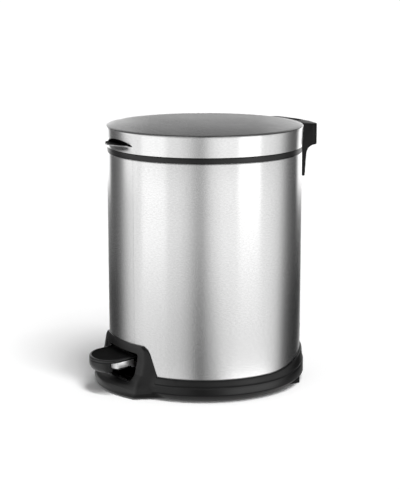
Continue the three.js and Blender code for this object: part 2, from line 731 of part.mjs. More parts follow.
function makeLidScrew(y) {
  const headTopZ = armTopZ - armPlateThickness - fitGap;
  const profile = [
    [0, headTopZ - screwHeadHeight], [screwHead, headTopZ - screwHeadHeight], [screwHead, headTopZ],
    [screwShank, headTopZ], [screwShank, linerTopZ - fitGap], [0, linerTopZ - fitGap]];
  return turned(profile, smallSides).translate([0, y, 0]);
}

// ================================================================ hinge housing
function housingSection(turn) {
  const away = Math.abs(turn - 180);
  const into = Math.max(0, (away - (housingHalfTurn - housingCornerTurn)) / housingCornerTurn);
  const sink = housingCornerSink * (1 - Math.sqrt(Math.max(0, 1 - into * into)));
  const outer = bodyRadius + housingDepth - sink;
  const inner = bodyRadius + housingInner;
  const seat = bodyRadius + fitGap;
  const topZ = lidEdgeZ - housingTopDrop;
  const faceZ = topZ - housingFaceHeight;
  const scoopZ = faceZ - housingScoop;
  const tongue = seat + tongueThickness;
  const tongueTop = tongue + tongueTaper * 1.6;
  const scoop = (reach, fall) => [
    tongueTop + (outer - tongueTop) * reach, faceZ - housingScoop * fall];
  return [
    [outer, topZ], [outer, faceZ], scoop(0.7, 0.2), scoop(0.45, 0.45), scoop(0.22, 0.73),
    [tongueTop + 0.9, scoopZ], [tongueTop, scoopZ - housingScoop * 0.5], [tongue, tongueBottomZ],
    [seat, tongueBottomZ], [seat, rimTopZ - housingInner], [inner, rimTopZ - housingInner / 2],
    [inner, topZ + housingTopSlope]];
}

function makeHinge() {
  const body = sweptTurn(housingSection, 180 - housingHalfTurn, 180 + housingHalfTurn, housingSteps);
  const slotBackY = bodyRadius + housingDepth - slotBackWall;
  const slot = box(-slotHalfWidth, slotHalfWidth, bodyRadius + housingInner - 3, slotBackY,
    hingeZ - slotFloorDrop, lidEdgeZ + 5);
  const bore = cylinderX(hingePinRadius + pinFit, -bodyRadius, hingePinHalf + pinFit, hingeY, hingeZ);
  return cutBy(body, [slot, bore, ...housingScrewHoles()]);
}

// a screw through the tube wall into the housing's tongue, its head inside the tube
function housingScrewSolid(side, shank, head, headInner, tip) {
  const headOuter = tubeInner - fitGap;
  const profile = [[0, headInner], [head, headInner], [head, headOuter], [shank, headOuter], [shank, tip], [0, tip]];
  return turned(profile, smallSides)
    .rotate([-90, 0, 0])
    .rotate([0, 0, -side * housingScrewTurn])
    .translate([0, 0, housingScrewZ]);
}

function makeHousingScrew(side) {
  const headInner = tubeInner - fitGap - screwHeadHeight;
  return housingScrewSolid(side, screwShank, screwHead, headInner, bodyRadius + housingScrewReach);
}

function housingScrewHoles() {
  const tip = bodyRadius + housingScrewReach + pinFit;
  return [1, -1].map((side) => turned([
    [0, tubeInner - 5], [screwShank + pinFit, tubeInner - 5], [screwShank + pinFit, tip], [0, tip]], smallSides)
    .rotate([-90, 0, 0])
    .rotate([0, 0, -side * housingScrewTurn])
    .translate([0, 0, housingScrewZ]));
}

// ================================================================ push rod
function makePushRod() {
  const topZ = rodTopZ - rodCapHeight + rodCapSocket - fitGap;
  const profile = [
    [0, rodBottomZ], [rodRadius - rodEndRound, rodBottomZ], [rodRadius, rodBottomZ + rodEndRound],
    [rodRadius, topZ], [0, topZ]];
  return turned(profile, smallSides).translate([0, rodY, 0]);
}

function makeRodCap() {
  const lowZ = rodTopZ - rodCapHeight;
  const bore = rodRadius + pinFit;
  const profile = [
    [0, lowZ + rodCapSocket], [bore, lowZ + rodCapSocket], [bore, lowZ], [rodCapRadius, lowZ],
    [rodCapRadius, rodTopZ], [0, rodTopZ]];
  return turned(profile, smallSides).translate([0, rodY, 0]);
}

// ================================================================ pedal lever
const treadZ = (y) => treadRearZ + (y - treadRearY) * treadSlope;

// top line of the steel lever, from its front end to the push rod
function leverTop() {
  return [
    [treadSteelFrontY, treadZ(treadSteelFrontY)], [treadRearY, treadRearZ], [leverKneeY, leverKneeZ],
    [pivotY, pivotZ + leverRiseOverPin], [leverTailY, leverTailZ]];
}

function strip(line, depth, x0, x1) {
  const under = line.map(([y, z]) => [y, z - depth]).reverse();
  return extrudedX([...line, ...under], x0, x1);
}

function channel(line, half) {
  return [
    strip(line, leverPlate, -half, half),
    strip(line, leverFlange, half - leverFlangeWall, half),
    strip(line, leverFlange, -half, -half + leverFlangeWall)];
}

// plan of the pad: straight sides and a bowed front
function padPlan(inset) {
  const half = treadHalfWidth - inset;
  const bowY = padFrontY + padBow;
  const shape = new THREE.Shape();
  shape.moveTo(half, padRearY - inset);
  shape.lineTo(-half, padRearY - inset);
  shape.lineTo(-half, bowY);
  shape.absellipse(0, bowY, half, padBow - inset, Math.PI, Math.PI * 2, false, 0);
  return shape;
}

// plan shape between two heights over the steel's top line, leaning with the tread
function onTread(shape, low, high) {
  const geometry = new THREE.ExtrudeGeometry(shape, { depth: high - low, bevelEnabled: false, curveSegments: 18 });
  geometry.translate(0, 0, low + treadRearZ - treadRearY * treadSlope);
  const lean = new THREE.Matrix4().set(1, 0, 0, 0, 0, 1, 0, 0, 0, treadSlope, 1, 0, 0, 0, 0, 1);
  geometry.applyMatrix4(lean);
  return solidOf(geometry);
}

function makePedalArm() {
  const line = leverTop();
  const trayEnds = box(-treadHalfWidth, treadHalfWidth, treadSteelFrontY, treadWideRearY, 0, treadRearZ * 2);
  const tray = onTread(padPlan(treadSteelInset), -leverFlange, 0)
    .subtract(onTread(padPlan(treadSteelInset + leverFlangeWall), -leverFlange - 1, -leverPlate))
    .intersect(trayEnds);
  const ears = [1, -1].map((side) => cylinderX(leverEarRadius,
    Math.min(side * leverHalfWidth, side * (leverHalfWidth - leverFlangeWall)),
    Math.max(side * leverHalfWidth, side * (leverHalfWidth - leverFlangeWall)), pivotY, pivotZ, 24));
  const body = joined([tray, ...channel(line.slice(1), leverHalfWidth), ...ears]);
  const bore = cylinderX(pivotPinRadius + pinFit, -leverHalfWidth - 1, leverHalfWidth + 1, pivotY, pivotZ);
  const screws = [1, -1].map((side) => cylinderZ(screwShank + pinFit, 0, treadRearZ + padThickness,
    side * treadScrewX, treadScrewY));
  return cutBy(body, [bore, ...screws]);
}

function rectangle(x0, x1, y0, y1) {
  const corners = [[x0, y0], [x1, y0], [x1, y1], [x0, y1]];
  return new THREE.Shape(corners.map(([x, y]) => new THREE.Vector2(x, y)));
}

function makePedalCover() {
  const frontY = padFrontY - 1;
  const slab = onTread(padPlan(0), fitGap, padThickness);
  const nose = onTread(padPlan(0.4), -noseDepth, fitGap + 0.1)
    .intersect(box(-treadHalfWidth, treadHalfWidth, frontY, treadSteelFrontY - fitGap, 0, treadRearZ * 2));
  const core = onTread(padPlan(treadSteelInset + leverFlangeWall + coreGap), -coreDepth, -leverPlate - fitGap)
    .intersect(box(-treadHalfWidth, treadHalfWidth, treadSteelFrontY - 2, coreRearY, 0, treadRearZ * 2));
  const recess = onTread(padPlan(padRim), padThickness - padRecess, padThickness + 1);
  const ribSpan = 2 * (treadHalfWidth - padRim) / (padRibs + 1);
  const ribs = [];
  for (let i = 1; i <= padRibs; i += 1) {
    const x = -treadHalfWidth + padRim + i * ribSpan;
    const bowed = Math.sqrt(1 - (x / (treadHalfWidth - padRim)) ** 2);
    const frontEnd = padFrontY + padBow - (padBow - padRim) * bowed + padRim;
    const plan = rectangle(x - padRibWidth / 2, x + padRibWidth / 2, frontEnd, padRearY - 2 * padRim);
    ribs.push(onTread(plan, padThickness - padRecess - 0.2, padThickness - padRecess + padRibHeight));
  }
  const screws = [1, -1].map((side) => cylinderZ(screwShank + pinFit, treadRearZ - 4,
    treadZ(treadScrewY) + padThickness * 0.6 + pinFit, side * treadScrewX, treadScrewY));
  return cutBy(joined([slab.subtract(recess), nose, core, ...ribs]), screws);
}

function makeTreadScrew(side) {
  const underZ = treadZ(treadScrewY) - leverPlate - fitGap - screwHead * treadSlope;
  const tip = treadZ(treadScrewY) + padThickness * 0.5;
  const profile = [
    [0, underZ - screwHeadHeight], [screwHead, underZ - screwHeadHeight], [screwHead, underZ],
    [screwShank, underZ], [screwShank, tip], [0, tip]];
  return turned(profile, smallSides).translate([side * treadScrewX, treadScrewY, 0]);
}

// ================================================================ bucket and bail
const earRadius = bucketTopRadius + earThickness / 2 + 1.2;
const bailZ = bucketRimZ + bailLift + bailWire;
const bailRadius = earRadius - earThickness / 2 - bailWire - bailBend;

function makeBucket() {
  const footRadius = bucketTopRadius - bucketTaper;
  const body = turned([
    [0, bucketFloorZ], [footRadius, bucketFloorZ], [bucketTopRadius, bucketSeatZ],
    [bucketFlangeRadius, bucketSeatZ], [bucketFlangeRadius, bucketRimZ],
    [bucketTopRadius - bucketWall, bucketRimZ], [footRadius - bucketWall, bucketFloorZ + bucketFloorThickness],
    [0, bucketFloorZ + bucketFloorThickness]]);
  const ears = [1, -1].map((side) => {
    const ear = box(earRadius - earThickness / 2, earRadius + earThickness / 2, -earHalfWidth, earHalfWidth,
      bucketRimZ - 0.5, bailZ + bailWire + earCrest);
    return side > 0 ? ear : ear.mirror([1, 0, 0]);
  });
  const bore = cylinderX(bailWire + pinFit, -bodyRadius, bodyRadius, 0, bailZ);
  return joined([body, ...ears]).subtract(bore);
}

// round wire along a path that lies at one height
function wire(path, radius, z, sides) {
  const sections = path.map((point, i) => {
    const before = path[Math.max(0, i - 1)];
    const after = path[Math.min(path.length - 1, i + 1)];
    const along = new THREE.Vector2(after.x - before.x, after.y - before.y).normalize();
    return circlePoints(radius, sides).map(([across, up]) => new THREE.Vector3(
      point.x - along.y * across, point.y + along.x * across, z + up));
  });
  const flat = circlePoints(radius, sides).map(([across, up]) => new THREE.Vector2(across, up));
  return lofted(sections, [flat, flat], false);
}

function circlePoints(radius, sides) {
  const points = [];
  for (let i = 0; i < sides; i += 1) {
    const angle = 2 * Math.PI * i / sides;
    points.push([radius * Math.cos(angle), radius * Math.sin(angle)]);
  }
  return points;
}

// half hoop lying on the rim, both ends turned outwards through the ears
function makeBail() {
  const end = earRadius + earThickness / 2 + fitGap;
  const half = [new THREE.Vector2(end, 0), new THREE.Vector2(bailRadius + bailBend, 0)];
  const bendSteps = 4;
  for (let i = 1; i < bendSteps; i += 1) {
    const angle = Math.PI / 2 * i / bendSteps;
    half.push(new THREE.Vector2(
      bailRadius + bailBend * (1 - Math.sin(angle)), -bailBend * (1 - Math.cos(angle))));
  }
  const start = bailBend / bailRadius;
  const hoop = [];
  for (let i = 0; i <= bailSteps; i += 1) {
    const angle = THREE.MathUtils.lerp(start, Math.PI - start, i / bailSteps);
    hoop.push(new THREE.Vector2(bailRadius * Math.cos(angle), -bailRadius * Math.sin(angle)));
  }
  const other = half.map((point) => new THREE.Vector2(-point.x, point.y)).reverse();
  return wire([...half, ...hoop, ...other], bailWire, bailZ, bailSides);
}

// ================================================================ assembly
const frame = new THREE.Group();
addPart(frame, 'body_shell', makeBodyShell(), brushedSteel);
addPart(frame, 'rim_ring', makeRimRing(), blackPlastic);
addPart(frame, 'base', makeBase(), blackPlastic);
addPart(frame, 'base_deck', makeDeck(), darkPlastic);
addPart(frame, 'bottom_cover', makeBottomCover(), darkPlastic);
addPart(frame, 'hinge_housing', makeHinge(), blackPlastic);
addPart(frame, 'hinge_pin', cylinderX(hingePinRadius, -hingePinHalf, hingePinHalf, hingeY, hingeZ), zincSteel);
addPart(frame, 'hinge_screw_right', makeHousingScrew(1), zincSteel);
addPart(frame, 'hinge_screw_left', makeHousingScrew(-1), zincSteel);
addPart(frame, 'pedal_bearing_right', makeBearing(1), darkPlastic);
addPart(frame, 'pedal_bearing_left', makeBearing(-1), darkPlastic);
addPart(frame, 'pedal_pivot_pin',
  cylinderX(pivotPinRadius, -pivotPinHalf, pivotPinHalf, pivotY, pivotZ), zincSteel);
coverScrewTurns.forEach((turn, i) => addPart(frame, `cover_screw_${i + 1}`,
  screwAt(polar(turn, coverScrewRadius, 0), coverScrewReach), zincSteel));
addPart(frame, 'bearing_screw_right',
  screwAt(new THREE.Vector3(bearingX, pivotY, 0), bearingScrewReach), zincSteel);
addPart(frame, 'bearing_screw_left',
  screwAt(new THREE.Vector3(-bearingX, pivotY, 0), bearingScrewReach), zincSteel);

const lid = new THREE.Group();
addPart(lid, 'lid_shell', makeLidShell(), brushedSteel);
addPart(lid, 'lid_liner', makeLidLiner(), darkPlastic);
addPart(lid, 'finger_cup', makeFingerCup(), darkPlastic);
addPart(lid, 'lid_arm', makeLidArm(), blackPlastic);
addPart(lid, 'lid_screw_front', makeLidScrew(lidScrewYs[0]), zincSteel);
addPart(lid, 'lid_screw_rear', makeLidScrew(lidScrewYs[1]), zincSteel);

const rod = new THREE.Group();
addPart(rod, 'push_rod', makePushRod(), plainSteel);
addPart(rod, 'rod_cap', makeRodCap(), blackPlastic);

const pedal = new THREE.Group();
addPart(pedal, 'pedal_arm', makePedalArm(), plainSteel);
addPart(pedal, 'pedal_cover', makePedalCover(), blackPlastic);
addPart(pedal, 'pedal_screw_right', makeTreadScrew(1), zincSteel);
addPart(pedal, 'pedal_screw_left', makeTreadScrew(-1), zincSteel);

const bucket = new THREE.Group();
addPart(bucket, 'inner_bucket', makeBucket(), bucketPlastic);
addPart(bucket, 'bucket_bail', makeBail(), plainSteel);

bin.add(frame, lid, rod, pedal, bucket);
export default bin;
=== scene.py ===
import math
import bpy
import bmesh
from mathutils import Matrix, Vector


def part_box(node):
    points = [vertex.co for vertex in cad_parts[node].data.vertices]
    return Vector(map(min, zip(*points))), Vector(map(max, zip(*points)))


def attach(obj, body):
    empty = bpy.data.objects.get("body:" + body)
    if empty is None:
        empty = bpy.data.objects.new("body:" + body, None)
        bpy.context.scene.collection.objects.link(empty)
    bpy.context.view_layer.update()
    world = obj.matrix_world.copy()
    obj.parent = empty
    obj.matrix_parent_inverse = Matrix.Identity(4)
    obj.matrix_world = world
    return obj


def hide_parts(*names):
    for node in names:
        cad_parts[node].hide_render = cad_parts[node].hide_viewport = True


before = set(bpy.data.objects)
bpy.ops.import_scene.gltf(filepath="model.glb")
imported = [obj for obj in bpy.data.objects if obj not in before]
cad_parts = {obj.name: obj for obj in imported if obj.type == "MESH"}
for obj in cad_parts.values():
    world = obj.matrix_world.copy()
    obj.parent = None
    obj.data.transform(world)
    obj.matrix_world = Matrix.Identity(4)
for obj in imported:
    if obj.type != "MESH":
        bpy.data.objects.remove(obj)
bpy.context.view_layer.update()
print("frame loaded")

mm = 0.001  # every size below is written in millimetres
sharpAngle = 32  # degrees, over which an edge stays crisp
sheetAngle = 60  # the same on a steel sheet without its thickness
steelAngle = 50  # and on the finished steel
fineSides = 200  # sides of the largest round forms
roundSides = 180
joinWithin = 2e-6  # metres
tiny = 1e-6
fit = 0.3  # room round pins and between fitted pieces


def linkObject(name, data):
    made = bpy.data.objects.new(name, data)
    bpy.context.scene.collection.objects.link(made)
    return made


def addPiece(name, verts, faces, sharp=sharpAngle):
    mesh = bpy.data.meshes.new(name)
    mesh.from_pydata([[c * mm for c in v] for v in verts], [], faces)
    piece = linkObject(name, mesh)
    tidyMesh(piece, sharp)
    return piece


def tidyMesh(piece, sharp=sharpAngle):
    bm = bmesh.new()
    bm.from_mesh(piece.data)
    bmesh.ops.remove_doubles(bm, verts=bm.verts, dist=joinWithin)
    bmesh.ops.dissolve_degenerate(bm, edges=bm.edges, dist=joinWithin)
    bmesh.ops.recalc_face_normals(bm, faces=bm.faces)
    bm.to_mesh(piece.data)
    bm.free()
    for face in piece.data.polygons:
        face.use_smooth = True
    piece.data.set_sharp_from_angle(angle=math.radians(sharp))


def applyModifiers(piece):
    bpy.context.view_layer.update()
    graph = bpy.context.evaluated_depsgraph_get()
    made = bpy.data.meshes.new_from_object(piece.evaluated_get(graph))
    old = piece.data
    piece.modifiers.clear()
    piece.data = made
    made.name = piece.name
    bpy.data.meshes.remove(old)


def carve(piece, tools, how="DIFFERENCE", sharp=sharpAngle):
    for tool in tools:
        cut = piece.modifiers.new("cut", "BOOLEAN")
        cut.operation = how
        cut.solver = "EXACT"
        cut.object = tool
        applyModifiers(piece)
        bpy.data.objects.remove(tool)
    tidyMesh(piece, sharp)
    return piece


def soften(piece, width, angle=35):
    edge = piece.modifiers.new("edge", "BEVEL")
    edge.width = width * mm
    edge.segments = 2
    edge.limit_method = "ANGLE"
    edge.angle_limit = math.radians(angle)
    applyModifiers(piece)
    tidyMesh(piece)
    return piece


# gives an open sheet its thickness, inwards
def thicken(piece, wall, sharp):
    sheet = piece.modifiers.new("wall", "SOLIDIFY")
    sheet.thickness = wall * mm
    sheet.offset = -1
    applyModifiers(piece)
    tidyMesh(piece, sharp)
    return piece


def mirrored(piece):
    for vertex in piece.data.vertices:
        vertex.co.x *= -1
    tidyMesh(piece)
    return piece


def moved(piece, place, aim=(0, 0, 1)):
    turnTo = Vector((0, 0, 1)).rotation_difference(Vector(aim)).to_matrix().to_4x4()
    piece.data.transform(Matrix.Translation(Vector(place) * mm) @ turnTo)
    piece.data.update()
    return piece


# a closed outline with its corners rounded off, one radius for each corner
def rounded(points, radii, steps=3):
    longest = 0.48  # the share of a side that one corner may take
    straight = math.radians(172)
    out = []
    for i, radius in enumerate(radii):
        corner = Vector(points[i])
        before = Vector(points[i - 1]) - corner
        after = Vector(points[(i + 1) % len(points)]) - corner
        if radius <= 0 or min(before.length, after.length) < tiny or before.angle(after) > straight:
            out.append(corner)
            continue
        reach = min(radius / math.tan(before.angle(after) / 2), before.length * longest, after.length * longest)
        first = corner + before.normalized() * reach
        last = corner + after.normalized() * reach
        for k in range(steps + 1):
            t = k / steps
            out.append(first * (1 - t) ** 2 + corner * 2 * t * (1 - t) + last * t * t)
    return [tuple(p) for p in out]


def onTurn(turn, radius, z):
    a = math.radians(turn)
    return (radius * math.sin(a), -radius * math.cos(a), z)


# joins closed sections; around also joins the last to the first, and leaveOut names sides without faces
def lofted(name, sections, around=False, sharp=sharpAngle, leaveOut=()):
    n = len(sections[0])
    verts = [p for section in sections for p in section]
    faces = []
    for i in range(len(sections) if around else len(sections) - 1):
        k = (i + 1) % len(sections)
        faces += [(i * n + j, k * n + j, k * n + (j + 1) % n, i * n + (j + 1) % n)
                  for j in range(n) if j not in leaveOut]
    if not around:
        faces.append(tuple(range(n)))
        faces.append(tuple(len(verts) - 1 - j for j in range(n)))
    return addPiece(name, verts, faces, sharp)


def turned(name, profile, steps=160, sharp=sharpAngle):
    n = len(profile)
    onAxis = [j for j in range(n) if profile[j][0] < tiny and profile[(j + 1) % n][0] < tiny]
    sections = [[onTurn(360 * i / steps, r, z) for r, z in profile] for i in range(steps)]
    return lofted(name, sections, True, sharp, onAxis)


# quads between neighbouring columns of n points each, all the way round
def wallFaces(columns, n, leaveOut=None):
    faces = []
    for i in range(columns):
        k = (i + 1) % columns
        faces += [(i * n + j, k * n + j, k * n + j + 1, i * n + j + 1)
                  for j in range(n - 1) if not (leaveOut and leaveOut(i, j))]
    return faces


def rectangle(x0, x1, y0, y1):
    return [(x0, y0), (x1, y0), (x1, y1), (x0, y1)]


def acrossX(name, outline, x0, x1):
    return lofted(name, [[(x, y, z) for y, z in outline] for x in (x0, x1)])


def brick(name, x0, x1, y0, y1, z0, z1):
    return lofted(name, [[(x, y, z) for x, y in rectangle(x0, x1, y0, y1)] for z in (z0, z1)])


def roundBar(name, radius, start, end, steps=32):
    start, end = Vector(start), Vector(end)
    along = (end - start).normalized()
    side = along.orthogonal().normalized()
    up = along.cross(side)
    ring = [side * math.cos(2 * math.pi * i / steps) + up * math.sin(2 * math.pi * i / steps)
            for i in range(steps)]
    return lofted(name, [[tuple(p + r * radius) for r in ring] for p in (start, end)])


def barAcross(name, radius, half, y, z):
    return roundBar(name, radius, (-half, y, z), (half, y, z))


def cylinder(name, radius, low, high):
    return turned(name, rectangle(0, radius, low, high), fineSides)


def turnWedge(name, halfTurn, inner, outer, low, high, steps=16):
    turns = [-halfTurn + 2 * halfTurn * i / steps for i in range(steps + 1)]
    return lofted(name, [[onTurn(turn, r, z) for r, z in rectangle(inner, outer, low, high)] for turn in turns])


def smoothStep(x, low, high):
    t = min(1, max(0, (x - low) / (high - low)))
    return t * t * (3 - 2 * t)


def startMaterial(name):
    material = bpy.data.materials.new(name)
    material.use_nodes = True
    tree = material.node_tree
    return material, tree, tree.nodes["Principled BSDF"]


def feed(tree, socket, value):
    if isinstance(value, bpy.types.NodeSocket):
        tree.links.new(value, socket)
    else:
        socket.default_value = value


def addNode(tree, kind, **values):
    node = tree.nodes.new(kind)
    for key, value in values.items():
        if key in ("operation", "data_type", "blend_type", "interpolation_type"):
            setattr(node, key, value)
        else:
            feed(tree, node.inputs[key], value)
    return node


def mathNode(tree, operation, *values):
    node = addNode(tree, "ShaderNodeMath", operation=operation)
    for socket, value in zip(node.inputs, values):
        feed(tree, socket, value)
    return node.outputs[0]


def noise(tree, place, scale, detail, roughness):
    return addNode(tree, "ShaderNodeTexNoise", Vector=place, Scale=scale, Detail=detail,
                   Roughness=roughness).outputs[0]


def asColour(value):
    return (value,) * 3 + (1,) if isinstance(value, (int, float)) else (*value, 1)


def mixColour(tree, factor, first, second, how="MIX"):
    return addNode(tree, "ShaderNodeMix", data_type="RGBA", blend_type=how, Factor=factor,
                   A=first, B=second).outputs["Result"]


def rampNode(tree, factor, stops):
    node = tree.nodes.new("ShaderNodeValToRGB")
    elements = node.color_ramp.elements
    while len(elements) > 1:
        elements.remove(elements[-1])
    for i, (place, value) in enumerate(stops):
        element = elements[0] if i == 0 else elements.new(place)
        element.position = place
        element.color = asColour(value)
    feed(tree, node.inputs[0], factor)
    return node.outputs[0]


def mapped(tree, source, start, end, low=0.0, high=1.0, way="LINEAR"):
    return addNode(tree, "ShaderNodeMapRange", interpolation_type=way, Value=source, **{
        "From Min": start, "From Max": end, "To Min": low, "To Max": high}).outputs[0]


# stretches the middle of a noise, where most of it lies, from low to high
def spread(tree, source, low, high):
    return mapped(tree, source, 0.3, 0.7, low, high)


def shadeBetween(tree, source, dark, light):
    return mixColour(tree, spread(tree, source, 0.0, 1.0), asColour(dark), asColour(light))


def bumpFrom(tree, shader, source, look):
    bump = addNode(tree, "ShaderNodeBump", Distance=look["depth"] * mm, Strength=look["bump"], Height=source)
    feed(tree, shader.inputs["Normal"], bump.outputs[0])


def newGroup(name, inputs, outputs):
    group = bpy.data.node_groups.new(name, "ShaderNodeTree")
    for label, value in inputs.items():
        socket = group.interface.new_socket(name=label, in_out="INPUT", socket_type="NodeSocketFloat")
        socket.default_value = value
    for label in outputs:
        group.interface.new_socket(name=label, in_out="OUTPUT", socket_type="NodeSocketFloat")
    return group, group.nodes.new("NodeGroupInput"), group.nodes.new("NodeGroupOutput")


# grain of brushed steel, drawn round the can or straight across it
def makeBrushGroup():
    group, given, out = newGroup("brushedGrain", {"Along": 8.0, "Across": 900.0, "Round": 1.0},
                                 ("Fine", "Speckle", "Broad"))
    place = addNode(group, "ShaderNodeTexCoord").outputs["Object"]
    x, y, z = addNode(group, "ShaderNodeSeparateXYZ", Vector=place).outputs
    along, across = given.outputs["Along"], given.outputs["Across"]
    arc = mathNode(group, "MULTIPLY", mathNode(group, "ARCTAN2", x, y), 0.1)
    roundWay = addNode(group, "ShaderNodeCombineXYZ", X=mathNode(group, "MULTIPLY", arc, along),
                       Y=mathNode(group, "MULTIPLY", z, across))
    straightWay = addNode(group, "ShaderNodeCombineXYZ", X=mathNode(group, "MULTIPLY", x, along),
                          Y=mathNode(group, "MULTIPLY", y, across), Z=mathNode(group, "MULTIPLY", z, across))
    way = addNode(group, "ShaderNodeMix", data_type="VECTOR", Factor=given.outputs["Round"],
                  A=straightWay.outputs[0], B=roundWay.outputs[0]).outputs["Result"]
    feed(group, out.inputs["Fine"], noise(group, way, 1.0, 4.0, 0.6))
    feed(group, out.inputs["Speckle"], noise(group, way, 0.36, 1.0, 0.5))
    feed(group, out.inputs["Broad"], noise(group, place, 22.0, 2.0, 0.5))
    return group


# grain of moulded plastic
def makeMouldGroup():
    group, given, out = newGroup("mouldedGrain", {"Scale": 900.0}, ("Grain", "Cloud"))
    place = addNode(group, "ShaderNodeTexCoord").outputs["Object"]
    feed(group, out.inputs["Grain"], noise(group, place, given.outputs["Scale"], 3.0, 0.65))
    feed(group, out.inputs["Cloud"], noise(group, place, 18.0, 3.0, 0.55))
    return group


brushGroup = makeBrushGroup()
mouldGroup = makeMouldGroup()


def placeGroup(tree, group, **values):
    node = tree.nodes.new("ShaderNodeGroup")
    node.node_tree = group
    for key, value in values.items():
        node.inputs[key].default_value = value
    return node.outputs


def makeSteel(name, look):
    material, tree, shader = startMaterial(name)
    grain = placeGroup(tree, brushGroup, Along=look["along"], Across=look["across"], Round=look["round"])
    feed(tree, shader.inputs["Base Color"], shadeBetween(tree, grain["Speckle"], look["dark"], look["light"]))
    feed(tree, shader.inputs["Roughness"],
         mathNode(tree, "ADD", spread(tree, grain["Fine"], look["smooth"], look["rough"]),
                  spread(tree, grain["Broad"], -look["patchy"], look["patchy"])))
    shader.inputs["Metallic"].default_value = 1.0
    if look["streak"] > 0:
        grooves = tree.nodes.new("ShaderNodeTangent")
        grooves.direction_type = "RADIAL"
        grooves.axis = "Z"
        feed(tree, shader.inputs["Tangent"], grooves.outputs[0])
        shader.inputs["Anisotropic"].default_value = look["streak"]
        shader.inputs["Anisotropic Rotation"].default_value = 0.25
    bumpFrom(tree, shader, grain["Fine"], look)
    return material


def makePlastic(name, look):
    material, tree, shader = startMaterial(name)
    grain = placeGroup(tree, mouldGroup, Scale=look["grain"])
    feed(tree, shader.inputs["Base Color"], shadeBetween(tree, grain["Cloud"], look["dark"], look["light"]))
    feed(tree, shader.inputs["Roughness"], spread(tree, grain["Cloud"], look["smooth"], look["rough"]))
    shader.inputs["Specular IOR Level"].default_value = look["shine"]
    bumpFrom(tree, shader, grain["Grain"], look)
    return material


brushed = {"dark": 0.72, "light": 0.8, "smooth": 0.2, "rough": 0.3, "patchy": 0.012, "along": 900.0,
           "across": 2600.0, "round": 1.0, "streak": 0.75, "depth": 0.02, "bump": 0.12}
plain = {**brushed, "round": 0.0, "streak": 0.0}
steelLooks = {
    "bodySteel": brushed,
    "lidSteel": {**brushed, "light": 0.79, "bump": 0.1},
    "lidTopSteel": {**plain, "rough": 0.28, "along": 60.0, "across": 2200.0, "bump": 0.08},
    "platedSteel": {**plain, "dark": 0.78, "light": 0.9, "smooth": 0.3, "rough": 0.42, "along": 200.0,
                    "across": 1200.0, "bump": 0.1},
    "zincSteel": {**plain, "dark": (0.42, 0.43, 0.44), "light": (0.6, 0.61, 0.62), "smooth": 0.3, "rough": 0.48,
                  "along": 700.0, "across": 900.0, "depth": 0.03, "bump": 0.2},
}
moulded = {"dark": 0.0018, "light": (0.0032, 0.0032, 0.0034), "smooth": 0.28, "rough": 0.36, "shine": 0.42,
           "grain": 1500.0, "depth": 0.03, "bump": 0.2}
dull = {**moulded, "dark": 0.004, "light": (0.007, 0.007, 0.0075), "bump": 0.3}
plasticLooks = {
    "blackPlastic": moulded,
    "hingePlastic": {**moulded, "smooth": 0.34, "rough": 0.42, "shine": 0.2},
    "darkPlastic": {**dull, "smooth": 0.5, "rough": 0.62, "shine": 0.3, "grain": 1300.0, "depth": 0.04},
    "pedalPlastic": {**dull, "smooth": 0.24, "rough": 0.32, "shine": 0.5, "grain": 1700.0, "bump": 0.15},
    "treadRubber": {**dull, "light": 0.007, "smooth": 0.7, "rough": 0.85, "shine": 0.12},
    "bucketPlastic": {**dull, "dark": (0.04, 0.04, 0.043), "light": (0.06, 0.06, 0.063), "smooth": 0.4,
                      "rough": 0.52, "shine": 0.4, "grain": 1100.0, "depth": 0.04},
}
finish = {name: makeSteel(name, look) for name, look in steelLooks.items()}
finish.update({name: makePlastic(name, look) for name, look in plasticLooks.items()})
print("materials made")


def dress(piece, material, body, slot, *nodes):
    piece.data.materials.clear()
    piece.data.materials.append(finish[material])
    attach(piece, body)
    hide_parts(*nodes)
    return piece


# steel tube of the body
tube = {"radius": 101.5, "wall": 0.8, "low": 14.0, "high": 242.2, "seamTurn": 15.15, "seamWidth": 0.13,
        "seamEdge": 0.01, "seamDepth": 0.22, "seamClear": 0.5, "cutTurn": 18.0, "cutMiddle": 30.0,
        "cutTop": 47.0, "steps": 240, "rows": (80.0, 120.0, 160.0, 200.0),
        "curl": ((1.2, 0), (0.4, 0.12), (0, 0.4))}


def makeTube():
    half, edge, depth = tube["seamWidth"] / 2, tube["seamEdge"], tube["seamDepth"]
    columns = [(360 * i / tube["steps"], 0.0) for i in range(tube["steps"])]
    columns = [c for c in columns if abs(c[0] - tube["seamTurn"]) > tube["seamClear"]]
    for shift, sink in ((-half - edge, 0.0), (-half, depth), (half, depth), (half + edge, 0.0)):
        columns.append((tube["seamTurn"] + shift, sink))
    columns.sort()
    cutRows = [tube["low"], tube["cutMiddle"], tube["cutTop"]]
    rows = [(z, 0) for z in (*cutRows, *tube["rows"])]
    rows += [(tube["high"] - drop, curl) for drop, curl in tube["curl"]]
    verts = [onTurn(turn, tube["radius"] - sink - curl, z) for turn, sink in columns for z, curl in rows]

    def inCut(i, j):
        start = columns[i][0]
        end = columns[i + 1][0] if i + 1 < len(columns) else 360
        room = tube["cutTurn"] + 0.01
        return j < len(cutRows) - 1 and (end <= room or start >= 360 - room)

    piece = addPiece("bodyTube", verts, wallFaces(len(columns), len(rows), inCut), sheetAngle)
    return thicken(piece, tube["wall"], steelAngle)


dress(makeTube(), "bodySteel", "bin", "body_steel", "body_shell")
print("body tube made")


# rim ring
rim = {"outer": 101.3, "bandLow": 242.5, "top": 247.9, "socket": 91.6, "seat": 244.5, "ledge": 86.0,
       "under": 241.5, "tongueIn": 98.8, "tongueOut": 100.4, "tongueLow": 232.0, "rodY": 95.7, "rodHole": 3.3}


